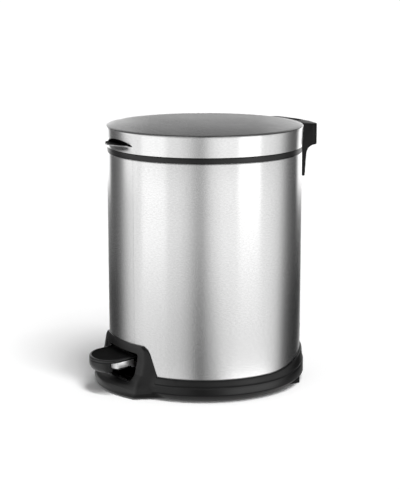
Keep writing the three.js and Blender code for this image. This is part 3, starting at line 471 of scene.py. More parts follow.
def makeRim():
    profile = [
        (rim["outer"], rim["bandLow"]), (rim["outer"], rim["top"]), (rim["socket"], rim["top"]),
        (rim["socket"], rim["seat"]), (rim["ledge"], rim["seat"]), (rim["ledge"], rim["under"]),
        (rim["tongueIn"], rim["under"]), (rim["tongueIn"], rim["tongueLow"]),
        (rim["tongueOut"], rim["tongueLow"]), (rim["tongueOut"], rim["bandLow"])]
    piece = turned("rimBand", rounded(profile, [0.5, 0.9, 0.5, 0.3, 0.5, 0.4, 0.3, 0.3, 0.3, 0]), fineSides)
    hole = roundBar("hole", rim["rodHole"], (0, rim["rodY"], rim["tongueLow"] - 2),
                    (0, rim["rodY"], rim["top"] + 2))
    return carve(piece, [hole])


dress(makeRim(), "blackPlastic", "bin", "black_plastic", "rim_ring")
print("rim made")


# base with its hood; the band's profile is a height and an inset: low down, at the crease and at the lip
base = {"toe": 97.0, "bulge": 106.4, "bulgeRearInset": 1.1, "lipFront": 22.9, "lipRear": 10.6, "lipWall": 1.0,
        "bodyFit": 101.8, "groove": 13.7, "plugOut": 100.4, "plugIn": 99.2, "plugTop": 36.0, "ledgeIn": 82.0,
        "ledgeLow": 2.8, "ledgeHigh": 5.0, "coverSeat": 92.0, "riseFrom": 100.0, "riseOver": 58.0,
        "creaseFront": 16.0, "creaseRear": 5.4, "blend": 2.4, "columns": 300, "rows": 62,
        "fineStep": 0.75, "fineTurn": 40.5, "hoodTurn": 36, "blendTurn": 44, "crowdLow": 1.12,
        "hoodClear": 0.2, "topStep": 0.25, "lipSink": 0.15,
        "lowBand": ((3.5, 4.2), (6.4, 1.05), (7.0, 0.5), (7.5, 0.18), (8.0, 0.03), (8.6, 0.0)),
        "creaseBand": ((-0.9, 0.1), (-0.4, 0.22), (0.0, 0.5), (0.4, 0.85)),
        "lipBand": ((-1.2, -0.75), (-0.6, -0.45), (-0.2, -0.1), (0.0, 0.35))}
bodyEdge = base["bodyFit"] + base["lipWall"]
hoodTop = 52.5

# height, front on the centre line, front at the corner, corner centre, corner radius, foot turn, foot radius
hoodLevels = [
    (0.0, 15.9, 6.0, 39.8, 3.0, 35.3, -4.5),
    (1.6, 18.2, 8.2, 42.0, 3.6, 35.0, -2.0),
    (5.6, 18.3, 8.2, 43.6, 4.0, 34.5, 0.6),
    (9.0, 17.5, 6.9, 43.8, 4.0, 34.0, 1.0),
    (12.5, 14.6, 5.4, 43.4, 4.0, 33.6, 1.0),
    (15.0, 11.7, 4.2, 43.0, 4.0, 33.2, 0.9),
    (17.5, 8.6, 3.0, 42.6, 4.0, 32.8, 0.8),
    (24.0, 4.8, -0.6, 42.4, 4.0, 31.8, 0.6),
    (35.0, 3.1, -3.4, 41.8, 4.0, 29.6, 0.6),
    (45.0, 2.4, -4.4, 40.4, 4.0, 27.4, 0.6),
    (49.4, 1.9, -4.8, 39.2, 3.6, 25.8, 0.6),
    (hoodTop, 1.1, -5.2, 36.6, 2.6, 23.2, 0.6),
]
mouth = {"half": 35.4, "sill": 15.5, "top": 44.3, "corner": 6.0, "upperCorner": 3.6, "deep": 22.0,
         "pitHalf": 26.5, "pitFront": 105.6, "pitBack": 99.0, "pitFloor": 5.0}
heel = {"outX": 79.0, "inX": 62.0, "frontY": 55.0, "rearY": 69.8, "height": 7.5, "under": 96.0}


def awayFromFront(turn):
    return abs((turn + 180) % 360 - 180)


def hoodLevel(z):
    for low, high in zip(hoodLevels, hoodLevels[1:]):
        if z <= high[0]:
            t = (z - low[0]) / (high[0] - low[0])
            return [a + (b - a) * t for a, b in zip(low, high)]
    return list(hoodLevels[-1])


# half of the hood's plan at one height, as turns and radii: bowed front, round corner, straight flank
def hoodPlan(z):
    frontSteps, cornerSteps, flankSteps = 26, 8, 12
    _, front, side, cornerX, corner, footTurn, foot = hoodLevel(z)
    radius = tube["radius"]
    points = []
    for i in range(frontSteps + 1):
        share = i / frontSteps
        points.append((share * cornerX, radius + side + (front - side) * (1 - share * share)))
    centreY = radius + side - corner
    footX, footY, _ = onTurn(footTurn, radius + foot, 0)
    gapX, gapY = footX - cornerX, -footY - centreY
    lean = math.atan2(gapX, gapY) - math.acos(min(1, corner / math.hypot(gapX, gapY)))
    lean = max(lean, 0.2)
    for i in range(1, cornerSteps + 1):
        a = lean * i / cornerSteps
        points.append((cornerX + corner * math.sin(a), centreY + corner * math.cos(a)))
    startX, startY = points[-1]
    for i in range(1, flankSteps + 1):
        share = i / flankSteps
        points.append((startX + (footX - startX) * share, startY + (-footY - startY) * share))
    return [(math.degrees(math.atan2(x, y)), math.hypot(x, y)) for x, y in points]


plans = {}


def planRadius(z, turn):
    key = round(z, 2)
    if key not in plans:
        plans[key] = hoodPlan(z)
    plan = plans[key]
    away = awayFromFront(turn)
    for (t0, r0), (t1, r1) in zip(plan, plan[1:]):
        if away <= t1:
            return r0 + (r1 - r0) * (away - t0) / max(t1 - t0, tiny)
    fallAway = 6  # millimetres for each degree past the foot
    return plan[-1][1] - (away - plan[-1][0]) * fallAway


def bandProfile(turn):
    away = awayFromFront(turn)
    rise = smoothStep(away, base["riseFrom"], base["riseFrom"] + base["riseOver"])
    bulge = base["bulge"] - base["bulgeRearInset"] * rise
    lip = base["lipFront"] + base["lipRear"] * rise
    crease = base["creaseFront"] + base["creaseRear"] * rise
    profile = [(0.0, base["toe"]), (0.5, base["toe"] + 1.0)]
    profile += [(z, bulge - inset) for z, inset in base["lowBand"]]
    profile += [(crease + z, bulge - inset) for z, inset in base["creaseBand"]]
    return profile + [(lip + z, bodyEdge - inset) for z, inset in base["lipBand"]]


def bandRadius(profile, z):
    for (z0, r0), (z1, r1) in zip(profile, profile[1:]):
        if z < z1:
            return r0 + (r1 - r0) * (z - z0) / max(z1 - z0, tiny)
    lipLean = 1.2
    return profile[-1][1] - (z - profile[-1][0]) * lipLean


def blendUp(a, b, width):
    h = max(0, 1 - abs(a - b) / width)
    return max(a, b) + h * h * width * 0.25


# close columns across the hood, wider apart round the rest
def baseColumns():
    step, reach = base["fineStep"], base["fineTurn"]
    count = round(reach / step)
    fine = [i * step for i in range(-count, count + 1)]
    rest = base["columns"] - len(fine)
    return fine + [reach + (360 - 2 * reach) * (i + 1) / (rest + 1) for i in range(rest)]


# how high the outside goes at this turn: to the lip, or up the hood
def columnTop(turn, lip):
    z = hoodTop if awayFromFront(turn) < base["hoodTurn"] else lip
    while z > lip and planRadius(z, turn) < bodyEdge - base["hoodClear"]:
        z -= base["topStep"]
    return max(lip, z)


# heights up one column, the same number in every column
def columnHeights(profile, top, blended):
    count = base["rows"]
    if blended:
        return [top * (i / count) ** base["crowdLow"] for i in range(count)]
    low = [z for z, _ in profile if z < top - 0.01]
    parts = 1 + round((count - len(low)) / len(low))
    fine = [z0 + (z1 - z0) * p / parts for z0, z1 in zip(low, low[1:] + [top]) for p in range(parts)]
    return [fine[round(i * (len(fine) - 1) / (count - 1))] for i in range(count)]


def baseSection(turn):
    profile = bandProfile(turn)
    lip = profile[-1][0]
    top = columnTop(turn, lip)
    blended = awayFromFront(turn) < base["blendTurn"]
    outside = []
    for z in columnHeights(profile, top, blended) + [top]:
        radius = bandRadius(profile, z)
        if blended:
            radius = blendUp(radius, planRadius(z, turn), base["blend"])
        outside.append((max(radius, bodyEdge - base["lipSink"]) if z > lip - 0.5 else radius, z))
    inside = [(base["bodyFit"], top), (base["bodyFit"], base["groove"]), (base["plugOut"], base["groove"]),
              (base["plugOut"], base["plugTop"]), (base["plugIn"], base["plugTop"]),
              (base["plugIn"], base["ledgeHigh"]), (base["ledgeIn"], base["ledgeHigh"]),
              (base["ledgeIn"], base["ledgeLow"]), (base["coverSeat"], base["ledgeLow"]),
              (base["coverSeat"], 0.0)]
    return [onTurn(turn, r, z) for r, z in outside + inside]


def mouthTool():
    outline = rounded(rectangle(-mouth["half"], mouth["half"], mouth["sill"], mouth["top"]),
                      [mouth["corner"]] * 2 + [mouth["upperCorner"]] * 2, 6)
    ends = (-(tube["radius"] + mouth["deep"]), -(tube["radius"] - mouth["deep"]))
    return lofted("mouthTool", [[(x, y, z) for x, z in outline] for y in ends])


def makeHeel():
    block = brick("heel", heel["inX"], heel["outX"], heel["frontY"], heel["rearY"], 0, heel["height"])
    carve(block, [cylinder("core", heel["under"], -1, heel["height"] + 1)])
    return soften(block, 0.3)


def makeBase():
    sections = [baseSection(turn) for turn in baseColumns()]
    piece = lofted("baseMoulding", sections, around=True, sharp=40)
    print("base body swept", len(piece.data.polygons))
    carve(piece, [makeHeel(), mirrored(makeHeel())], "UNION")
    pit = brick("pit", -mouth["pitHalf"], mouth["pitHalf"], -mouth["pitFront"], -mouth["pitBack"],
                mouth["pitFloor"], mouth["sill"] + fit)
    return carve(piece, [mouthTool(), pit], sharp=40)


dress(makeBase(), "blackPlastic", "bin", "black_plastic", "base")
print("base made")


# hinge housing
hinge = {"y": 113.0, "z": 263.0, "halfTurn": 20.5, "cornerTurn": 3.5, "cornerSink": 6.0, "outer": 121.6,
         "inner": 104.5, "seat": 101.8, "seatTop": 244.9, "innerLow": 246.4, "top": 267.3, "topSlope": 0.9,
         "face": 245.5, "scoop": 11.2, "tongue": 107.4, "taper": 1.44, "low": 212.5, "slot": 9.8,
         "slotFront": 98.0, "slotBack": 118.5, "slotFloor": 255.0, "slotTop": 290.0, "pinRadius": 2.0,
         "pinHalf": 26.0, "boreStart": -90}


def hingeSection(turn):
    scoopSteps = 8
    away = abs(turn - 180)
    into = max(0.0, (away - (hinge["halfTurn"] - hinge["cornerTurn"])) / hinge["cornerTurn"])
    outer = hinge["outer"] - hinge["cornerSink"] * (1 - math.sqrt(max(0.0, 1 - into * into)))
    top, face, scoop = hinge["top"], hinge["face"], hinge["scoop"]
    start = hinge["tongue"] + hinge["taper"]
    curve = []
    for i in range(1, scoopSteps + 1):
        a = math.pi / 2 * i / scoopSteps
        curve.append((outer - (outer - start) * math.sin(a), face - scoop * (1 - math.cos(a))))
    outline = [(outer, top), (outer, face)] + curve + [
        (start - 0.5, face - scoop * 1.5), (hinge["tongue"], hinge["low"]), (hinge["seat"], hinge["low"]),
        (hinge["seat"], hinge["seatTop"]), (hinge["inner"], hinge["innerLow"]),
        (hinge["inner"], top + hinge["topSlope"])]
    return rounded(outline, [1.1, 0.5] + [0] * scoopSteps + [0, 0.9, 0.5, 0, 0, 0.5])


# closer sections towards the rounded sides
def makeHinge():
    steps = 44
    turns = [180 + hinge["halfTurn"] * math.sin((i / steps * 2 - 1) * math.pi / 2) for i in range(steps + 1)]
    sections = [[onTurn(turn, r, z) for r, z in hingeSection(turn)] for turn in turns]
    piece = lofted("hingeBlock", sections, sharp=38)
    slot = brick("slot", -hinge["slot"], hinge["slot"], hinge["slotFront"], hinge["slotBack"],
                 hinge["slotFloor"], hinge["slotTop"])
    bore = roundBar("bore", hinge["pinRadius"] + fit, (hinge["boreStart"], hinge["y"], hinge["z"]),
                    (hinge["pinHalf"] + fit, hinge["y"], hinge["z"]))
    return carve(piece, [slot, bore], sharp=38)


dress(makeHinge(), "hingePlastic", "bin", "black_plastic", "hinge_housing")
print("hinge made")


# lid with the finger lift at its front
lid = {"low": 248.2, "edge": 269.3, "topRadius": 102.7, "footRadius": 101.8, "dome": 1.2, "wall": 1.0,
       "edgeRound": 1.0, "liftTurn": 15.6, "lipZ": 255.2, "lipReach": 10.4, "lipFlare": 3.2,
       "lipBow": 2.4, "lipTip": 1.3, "archRise": 5.2, "archEnd": 0.6, "archBend": 2.3, "archFade": 0.93,
       "notch": 9.8, "notchLow": 240.0, "notchTop": 266.0, "notchFront": 60, "notchBack": 110,
       "topFrom": 260.0, "topTilt": 0.8}


def skirtRadius(z):
    share = (z - lid["low"]) / (lid["edge"] - lid["low"])
    return lid["footRadius"] + (lid["topRadius"] - lid["footRadius"]) * share


def archHeight(turn):
    share = min(1.0, abs(turn) / lid["liftTurn"])
    rise = lid["archRise"] + (lid["archEnd"] - lid["archRise"]) * share ** lid["archBend"]
    return lid["lipZ"] + rise * (1 - smoothStep(share, lid["archFade"], 1.0))


def lipReach(turn):
    share = min(1.0, abs(turn) / lid["liftTurn"])
    return lid["lipReach"] * (1 - share ** lid["lipBow"]) ** lid["lipTip"]


# room for the arm at the rear, in the steel or in the lining
def makeNotch(sizes):
    return brick("notch", -lid["notch"], lid["notch"], sizes["notchFront"], sizes["notchBack"],
                 lid["notchLow"], lid["notchTop"])


# one column of the lid's outside: skirt to the lip, skirt above the arch, rounded edge, top
def lidColumn(turn, lowRows, highRows, topRows):
    reach, arch, edgeRound = lipReach(turn), archHeight(turn), lid["edgeRound"]
    shoulder = lid["edge"] - edgeRound
    column = []
    for j in range(lowRows + 1):
        share = j / lowRows
        z = lid["low"] + (lid["lipZ"] - lid["low"]) * share
        column.append((skirtRadius(z) + reach * share ** lid["lipFlare"], z))
    for j in range(highRows + 1):
        z = arch + (shoulder - arch) * j / highRows
        column.append((skirtRadius(z), z))
    for a in map(math.radians, (30, 60, 90)):
        column.append((skirtRadius(shoulder) - edgeRound * (1 - math.cos(a)),
                       shoulder + edgeRound * math.sin(a)))
    for j in range(1, topRows):
        share = 1 - j / topRows
        column.append(((lid["topRadius"] - edgeRound) * share, lid["edge"] + lid["dome"] * (1 - share * share)))
    return column


def makeLidShell():
    liftSteps, lowRows, highRows, topRows = 40, 6, 7, 14
    coarse = [360 * i / fineSides - 180 for i in range(fineSides)]
    fine = [lid["liftTurn"] * i / liftSteps for i in range(-liftSteps, liftSteps + 1)]
    turns = sorted([t for t in coarse if abs(t) > lid["liftTurn"] + 0.6] + fine)
    columns = [lidColumn(turn, lowRows, highRows, topRows) for turn in turns]
    verts = [onTurn(turn, r, z) for turn, column in zip(turns, columns) for r, z in column]
    n, count, centre = len(columns[0]), len(turns), len(verts)
    verts.append((0, 0, lid["edge"] + lid["dome"]))
    faces = wallFaces(count, n, lambda i, j: j == lowRows)
    faces += [(i * n + n - 1, (i + 1) % count * n + n - 1, centre) for i in range(count)]
    piece = thicken(addPiece("lidSteelShell", verts, faces, sheetAngle), lid["wall"], steelAngle)
    return carve(piece, [makeNotch(lid)], sharp=steelAngle)


lidShell = dress(makeLidShell(), "lidSteel", "lid", "lid_steel", "lid_shell")
lidShell.data.materials.append(finish["lidTopSteel"])
for face in lidShell.data.polygons:
    if face.normal.z > lid["topTilt"] and face.center.z > lid["topFrom"] * mm:
        face.material_index = 1
print("lid shell made")

lining = {"outer": 100.4, "inner": 98.6, "top": 267.4, "under": 266.0, "low": 248.5, "notchFront": 93,
          "notchBack": 112, "roomMore": 2.2, "roomIn": 96.5, "roomOut": 102.5}
pocket = {"back": 92.0, "wall": 1.5, "floor": 254.7, "ceiling": 262.0, "edgeBack": 1.2, "sideMore": 1.6,
          "shelfShare": 0.92, "shelfOver": 0.15}


def makeLining():
    outline = [(0, lining["top"]), (0, lining["under"]), (lining["inner"], lining["under"]),
               (lining["inner"], lining["low"]), (lining["outer"], lining["low"]),
               (lining["outer"], lining["top"])]
    piece = turned("lidLining", rounded(outline, [0, 0, 1.6, 0.6, 0.6, 0.5]), roundSides)
    room = turnWedge("room", lid["liftTurn"] + lining["roomMore"], lining["roomIn"], lining["roomOut"],
                     lid["notchLow"], pocket["ceiling"] + fit)
    return carve(piece, [makeNotch(lining), room])


dress(makeLining(), "darkPlastic", "lid", "dark_plastic", "lid_liner")


def makePocket():
    shelfHalf = 16  # steps to each side
    outer, wall, half = lining["outer"], pocket["wall"], lid["liftTurn"]
    low, floor, over = pocket["floor"] - wall, pocket["floor"], lid["lipZ"] + pocket["shelfOver"]
    block = turnWedge("fingerPocket", half + pocket["sideMore"], pocket["back"], outer, low,
                      pocket["ceiling"], 24)
    carve(block, [turnWedge("room", half, pocket["back"] + wall, outer + 2, floor,
                            pocket["ceiling"] - wall, 24)])
    shelf = []
    for i in range(2 * shelfHalf + 1):
        turn = half * pocket["shelfShare"] * (i / shelfHalf - 1)
        reach = max(0, lipReach(turn) - pocket["edgeBack"])
        edge = skirtRadius(over) + max(0, lipReach(turn) - 0.3)
        shelf.append([onTurn(turn, r, z) for r, z in (
            (outer - 1.0, low), (outer + 0.25 * reach, low), (outer + 0.8 * reach, floor),
            (outer + 0.8 * reach, over), (edge, over), (edge - 0.4, over + 0.5), (outer - 1.0, over + 0.3))])
    return carve(block, [lofted("shelf", shelf)], "UNION")


dress(makePocket(), "darkPlastic", "lid", "dark_plastic", "finger_cup")

arm = {"half": 9.0, "plate": 2.5, "top": 265.7, "frontY": 62.0, "neckDrop": 4.5, "barrel": 5.0,
       "barrelSteps": 8, "slopeBack": 3.5, "camY": 95.7, "camZ": 255.0, "camRadius": 3.0}


def makeLidArm():
    y, z, r = arm["camY"], arm["camZ"], arm["camRadius"]
    under, neck = arm["top"] - arm["plate"], hinge["z"] - arm["neckDrop"]
    outline = [(arm["frontY"], arm["top"]), (arm["frontY"], under), (y - r * 2.6, under), (y - r, z),
               (y - r * 0.7, z - r * 0.7), (y, z - r), (y + r * 0.7, z - r * 0.7), (y + r, z),
               (y + r * 1.4, neck), (hinge["y"], neck)]
    for i in range(1, arm["barrelSteps"]):
        a = math.pi * (i / arm["barrelSteps"] - 0.5)
        outline.append((hinge["y"] + arm["barrel"] * math.cos(a), hinge["z"] + arm["barrel"] * math.sin(a)))
    outline.append((hinge["y"] - arm["slopeBack"], arm["top"]))
    piece = soften(acrossX("lidArmMoulding", outline, -arm["half"], arm["half"]), 0.5)
    return carve(piece, [barAcross("bore", hinge["pinRadius"] + fit, 20, hinge["y"], hinge["z"])])


dress(makeLidArm(), "blackPlastic", "lid", "black_plastic", "lid_arm")
print("lid lining, pocket and arm made")


# bucket and bail
bucket = {"flange": 91.3, "seat": 244.8, "rim": 246.8, "top": 85.4, "wall": 1.6, "taper": 7.4, "floor": 42.0,
          "floorWall": 2.0, "earRadius": 87.85, "earHalf": 4.0, "earWall": 2.5, "earTop": 253.3,
          "bailZ": 249.8, "wire": 1.5, "bailRadius": 82.1, "bend": 3.0, "boreIn": 80, "boreOut": 96}


def makeEar():
    x = bucket["earRadius"] - bucket["earWall"] / 2
    return soften(brick("ear", x, x + bucket["earWall"], -bucket["earHalf"], bucket["earHalf"],
                        bucket["rim"] - 0.5, bucket["earTop"]), 0.8)


def makeBucket():
    foot, wall = bucket["top"] - bucket["taper"], bucket["wall"]
    floor, thick = bucket["floor"], bucket["floorWall"]
    outline = [
        (0, floor + 1.2), (foot * 0.72, floor + 1.2), (foot * 0.76, floor), (foot, floor),
        (bucket["top"], bucket["seat"]), (bucket["flange"], bucket["seat"]), (bucket["flange"], bucket["rim"]),
        (bucket["top"] - wall, bucket["rim"]), (foot - wall, floor + thick), (0, floor + thick + 0.6)]
    outline = rounded(outline, [0, 0.8, 0.8, 4, 1.2, 0.7, 0.8, 1.6, 4, 0], 4)
    piece = turned("bucketMoulding", outline, roundSides)
    carve(piece, [makeEar(), mirrored(makeEar())], "UNION")
    return carve(piece, [roundBar("bore", bucket["wire"] + fit, (side * bucket["boreIn"], 0, bucket["bailZ"]),
                                  (side * bucket["boreOut"], 0, bucket["bailZ"]), 24) for side in (1, -1)])


dress(makeBucket(), "bucketPlastic", "bucket", "bucket_plastic", "inner_bucket")


# a hoop whose ends bend outwards into the ears
def makeBail():
    bendSteps, hoopSteps, wireSteps = 8, 90, 16
    end = bucket["earRadius"] + bucket["earWall"] / 2 + fit
    radius, bend = bucket["bailRadius"], bucket["bend"]
    half = [(end, 0.0), (radius + bend, 0.0)]
    for i in range(1, bendSteps):
        a = math.pi / 2 * i / bendSteps
        half.append((radius + bend * (1 - math.sin(a)), -bend * (1 - math.cos(a))))
    start = bend / radius
    hoop = []
    for i in range(hoopSteps + 1):
        a = start + (math.pi - 2 * start) * i / hoopSteps
        hoop.append((radius * math.cos(a), -radius * math.sin(a)))
    path = half + hoop + [(-x, y) for x, y in reversed(half)]
    sections = []
    for i, (x, y) in enumerate(path):
        x0, y0 = path[max(0, i - 1)]
        x1, y1 = path[min(len(path) - 1, i + 1)]
        size = math.hypot(x1 - x0, y1 - y0)
        dx, dy = (x1 - x0) / size, (y1 - y0) / size
        ring = []
        for k in range(wireSteps):
            a = 2 * math.pi * k / wireSteps
            across, up = bucket["wire"] * math.cos(a), bucket["wire"] * math.sin(a)
            ring.append((x - dy * across, y + dx * across, bucket["bailZ"] + up))
        sections.append(ring)
    return lofted("bailWire", sections, sharp=steelAngle)


dress(makeBail(), "platedSteel", "bail", "plated_steel", "bucket_bail")
print("bucket and bail made")


# tread of the pedal and the lever that carries it
tread = {"half": 25.2, "frontY": -133.2, "rearY": -95.0, "bow": 19.0, "steelTop": 36.3, "slopeY": -98.5,
         "slope": 0.1, "steelFront": -117.2, "steelLean": 4.5, "steelRear": -98.0, "steelCorner": 3.5,
         "middleHalf": 12.5, "thick": 3.4, "nose": 10.8, "core": 8.2, "coreRear": -104.5, "bodyHalf": 17.0,
         "bodyRound": 5.0, "bodyArc": 66.0, "bodySide": -125.6, "deepTo": -121.0, "rim": 2.0,
         "recess": 0.9, "ribs": 15, "ribWidth": 1.1, "ribHeight": 0.35, "screwX": 16.0, "screwY": -101.0,
         "screwHole": 1.7}
lever = {"plate": 1.6, "flange": 6.0, "flangeWall": 2.0, "inset": 0.25, "tab": 3.0, "tabLong": 3.2,
         "narrow": 12.0, "kneeY": -74.0, "kneeZ": 18.0, "pivotY": -45.0, "pivotZ": 12.0, "pivotHole": 2.3,
         "rise": 5.5, "tailY": 97.3, "ear": 5.5}

# edge of the tread from its underside up, as an inset and a height over the underside or under the top
treadUnder = [(6.0, 0), (4.3, 0.12), (3.0, 0.55), (1.9, 1.3), (1.0, 2.4), (0.4, 3.8), (0.1, 5.4), (0.0, 7.0)]
treadOver = [(0.0, 3.3), (0.25, 3.0), (0.75, 2.85), (0.75, 2.6), (0.2, 2.45), (0.0, 2.1), (0.02, 1.3),
             (0.3, 0.65), (0.7, 0.22), (1.2, 0.03), (1.5, 0)]


def steelTop(y):
    return tread["steelTop"] + (y - tread["slopeY"]) * tread["slope"]


# plan with straight sides and a bowed front, drawn in from the outline by inset
def treadPlan(inset):
    half, bow, rear = tread["half"] - inset, tread["bow"] - inset, tread["rearY"] - inset
    middle, steps = tread["frontY"] + tread["bow"], 32
    turns = [math.pi * i / steps for i in range(steps + 1)]
    front = [(half * math.cos(a), middle - bow * math.sin(a)) for a in turns]
    return [(half, rear)] + front + [(-half, rear)]


# a solid whose plans lie at heights over the sloping steel
def onSlope(name, *levels):
    return lofted(name, [[(x, y, steelTop(y) + rise) for x, y in plan] for plan, rise in levels])


def stacked(name, levels):
    return onSlope(name, *[(treadPlan(inset), rise) for inset, rise in levels])


def bowedFront(x, inset):
    share = min(1, abs(x) / (tread["half"] - inset))
    return tread["frontY"] + tread["bow"] - (tread["bow"] - inset) * math.sqrt(1 - share * share)


# front edge of the steel tray, which leans forward to a straight middle
def trayFront(half, front):
    middle, ahead = tread["middleHalf"], front - tread["steelLean"]
    return [(-half, front), (-middle, ahead), (middle, ahead), (half, front)]


def pedalScrewHoles(name, low, high):
    return [roundBar(name, tread["screwHole"], (x, tread["screwY"], low), (x, tread["screwY"], high))
            for x in (tread["screwX"], -tread["screwX"])]


def makeRibs(top):
    rim = tread["rim"]
    gap = 2 * (tread["half"] - rim) / (tread["ribs"] + 1)
    floor = top - tread["recess"]
    ribs = []
    for i in range(1, tread["ribs"] + 1):
        x = -tread["half"] + rim + i * gap
        front, rear = bowedFront(x, rim) + 1.0, tread["rearY"] - 2 * rim
        wide, thin = tread["ribWidth"] / 2, tread["ribWidth"] / 4
        foot = rectangle(x - wide, x + wide, front, rear)
        crest = rectangle(x - thin, x + thin, front + 0.4, rear - 0.4)
        ribs.append(onSlope("rib", (foot, floor - fit), (crest, floor + tread["ribHeight"])))
    return ribs


# room for the steel tray, and everything past the tread's rounded nose cut away
def treadTools():
    wide, deep, ahead = 27, -14, -140  # past the tread on every side
    front, back = tread["steelFront"], tread["rearY"] + 5
    wall = lever["flangeWall"] + 0.4
    bodyHalf, bodyRound, bodySide = tread["bodyHalf"], tread["bodyRound"], tread["bodySide"]
    outer = trayFront(wide, front - fit)
    plate = outer + [(wide, back), (-wide, back)]
    lip = outer + trayFront(wide, front + wall)[::-1]
    tools = [onSlope("plateRoom", (plate, -1.9), (plate, fit)),
             onSlope("frontRoom", (lip, -lever["flange"] - fit), (lip, 0.2))]
    for side in (1, -1):
        edge = rectangle(*sorted((side * (tread["half"] - wall), side * wide)), front, back)
        corner = [(wide, front + wall), (bodyHalf, front + wall)]
        for i in range(9):
            a = math.radians(tread["bodyArc"]) * i / 8
            corner.append((bodyHalf - bodyRound * (1 - math.cos(a)), bodySide - bodyRound * math.sin(a)))
        corner = [(side * x, y) for x, y in corner + [(corner[-1][0], ahead), (wide, ahead)]]
        tools += [onSlope("sideRoom", (edge, deep), (edge, 0.2)),
                  onSlope("cornerRoom", (corner, deep), (corner, 0.12))]
    rear = rectangle(-wide, wide, tread["coreRear"], back)
    shallow = [(tread["deepTo"], -tread["nose"] - 0.4), (tread["deepTo"] + 3, -tread["core"]),
               (back, -tread["core"]), (back, deep), (tread["deepTo"], deep)]
    tools += [onSlope("rearRoom", (rear, deep), (rear, -1)),
              acrossX("shallow", [(y, steelTop(y) + z) for y, z in shallow], -wide, wide)]
    return tools + pedalScrewHoles("screwRoom", 30, steelTop(tread["screwY"]) + 2.1)


def makeTread():
    top, rim, floor = tread["thick"], tread["rim"], tread["thick"] - tread["recess"]
    piece = stacked("pedalTread", [(inset, rise - tread["nose"]) for inset, rise in treadUnder]
                    + [(inset, top - drop) for inset, drop in treadOver])
    carve(piece, [stacked("well", [(rim + 0.5, floor), (rim + 0.1, floor + 0.4), (rim, top + 1)])])
    carve(piece, makeRibs(top), "UNION")
    return carve(piece, treadTools(), sharp=36)


treadPiece = dress(makeTread(), "pedalPlastic", "pedal", "pedal_plastic", "pedal_cover")
treadPiece.data.materials.append(finish["treadRubber"])
for face in treadPiece.data.polygons:
    x, y, z = (c / mm for c in face.center)
    overFloor = z - (steelTop(y) + tread["thick"] - tread["recess"])
    inRim = abs(x) < tread["half"] - tread["rim"] and y > bowedFront(x, tread["rim"])
    if face.normal.z > 0.2 and -fit < overFloor < tread["recess"] - fit and inRim:
        face.material_index = 1


# a bent strip along a line seen from the side
def strip(name, line, depth, x0, x1):
    return acrossX(name, line + [(y, z - depth) for y, z in reversed(line)], x0, x1)


def tray(name, inset, low, high, rear):
    half, front = tread["half"] - lever["inset"] - inset, tread["steelFront"] + inset
    corner = max(0.8, tread["steelCorner"] - inset)
    plan = rounded(trayFront(half, front) + [(half, rear), (-half, rear)], [corner, 3, 3, corner, 0, 0], 6)
    return onSlope(name, (plan, low), (plan, high))


def makeLever():
    line = [(tread["slopeY"], tread["steelTop"]), (lever["kneeY"], lever["kneeZ"]),
            (lever["pivotY"], lever["pivotZ"] + lever["rise"]), (lever["tailY"], lever["pivotZ"])]
    narrow, wall, plate = lever["narrow"], lever["flangeWall"], lever["plate"]
    half, rear = tread["half"] - lever["inset"], tread["steelRear"]
    low = steelTop(rear) - lever["flange"]
    tab = [(rear, low + 1), (rear, low - lever["tab"] + 0.6), (rear - 0.6, low - lever["tab"]),
           (rear - 1.6, low - lever["tab"] + 0.2), (rear - lever["tabLong"], low + 1)]
    piece = tray("pedalLever", 0, -lever["flange"], 0, rear)
    carve(piece, [tray("inner", wall, -lever["flange"] - 1, -plate, rear + 1)])
    parts = []
    for side in (1, -1):
        parts += [acrossX("tab", tab, *sorted((side * half, side * (half - wall)))),
                  strip("flange", line, lever["flange"], *sorted((side * narrow, side * (narrow - wall)))),
                  roundBar("ear", lever["ear"], (side * (narrow - wall), lever["pivotY"], lever["pivotZ"]),
                           (side * narrow, lever["pivotY"], lever["pivotZ"]))]
    parts.append(strip("web", line, plate, -narrow + wall / 2, narrow - wall / 2))
    carve(piece, parts, "UNION")
    bore = barAcross("bore", lever["pivotHole"], 20, lever["pivotY"], lever["pivotZ"])
    carve(piece, [bore] + pedalScrewHoles("hole", 20, 45))
    return soften(piece, 0.35, 50)


dress(makeLever(), "platedSteel", "pedal", "plated_steel", "pedal_arm")
print("pedal made")


# middle and size of a solid, in millimetres
def measure(node):
    low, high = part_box(node)
    return [(a + b) / 2 / mm for a, b in zip(low, high)], [(b - a) / mm for a, b in zip(low, high)]


# a plain bar as long and thick as its node
def makeBar(node, name, aim, startRound, endRound):
    middle, size = measure(node)
    long, thick = (size[0], size[2]) if aim[0] else (size[2], size[0])
    r, half = thick / 2, long / 2
    outline = rounded(rectangle(0, r, -half, half), [0, startRound, endRound, 0])
    return moved(turned(name, outline, 40, 40), middle, aim)


for node, name in (("hinge_pin", "hingePin"), ("pedal_pivot_pin", "pedalPin")):
    dress(makeBar(node, name, (1, 0, 0), 0.4, 0.4), "zincSteel", "bin", "zinc_steel", node)
dress(makeBar("push_rod", "pushRod", (0, 0, 1), 0.9, 0.3), "platedSteel", "rod", "plated_steel", "push_rod")

rodCap = {"socket": 2.05, "roof": 2.0}
screw = {"shank": 1.4, "head": 2.8, "headHigh": 1.5, "slotWide": 0.5, "slotLong": 3.2, "slotDeep": 0.8}


def makeRodCap():
    middle, size = measure("rod_cap")
    r, half, socket = size[0] / 2, size[2] / 2, rodCap["socket"]
    roof = half - rodCap["roof"]
    outline = rounded([(0, roof), (socket, roof), (socket, -half), (r, -half), (r, half), (0, half)],
                      [0, 0, 0, 0.3, 0.9, 0])
    return moved(turned("rodCap", outline, 40, 40), middle)


dress(makeRodCap(), "blackPlastic", "rod", "black_plastic", "rod_cap")


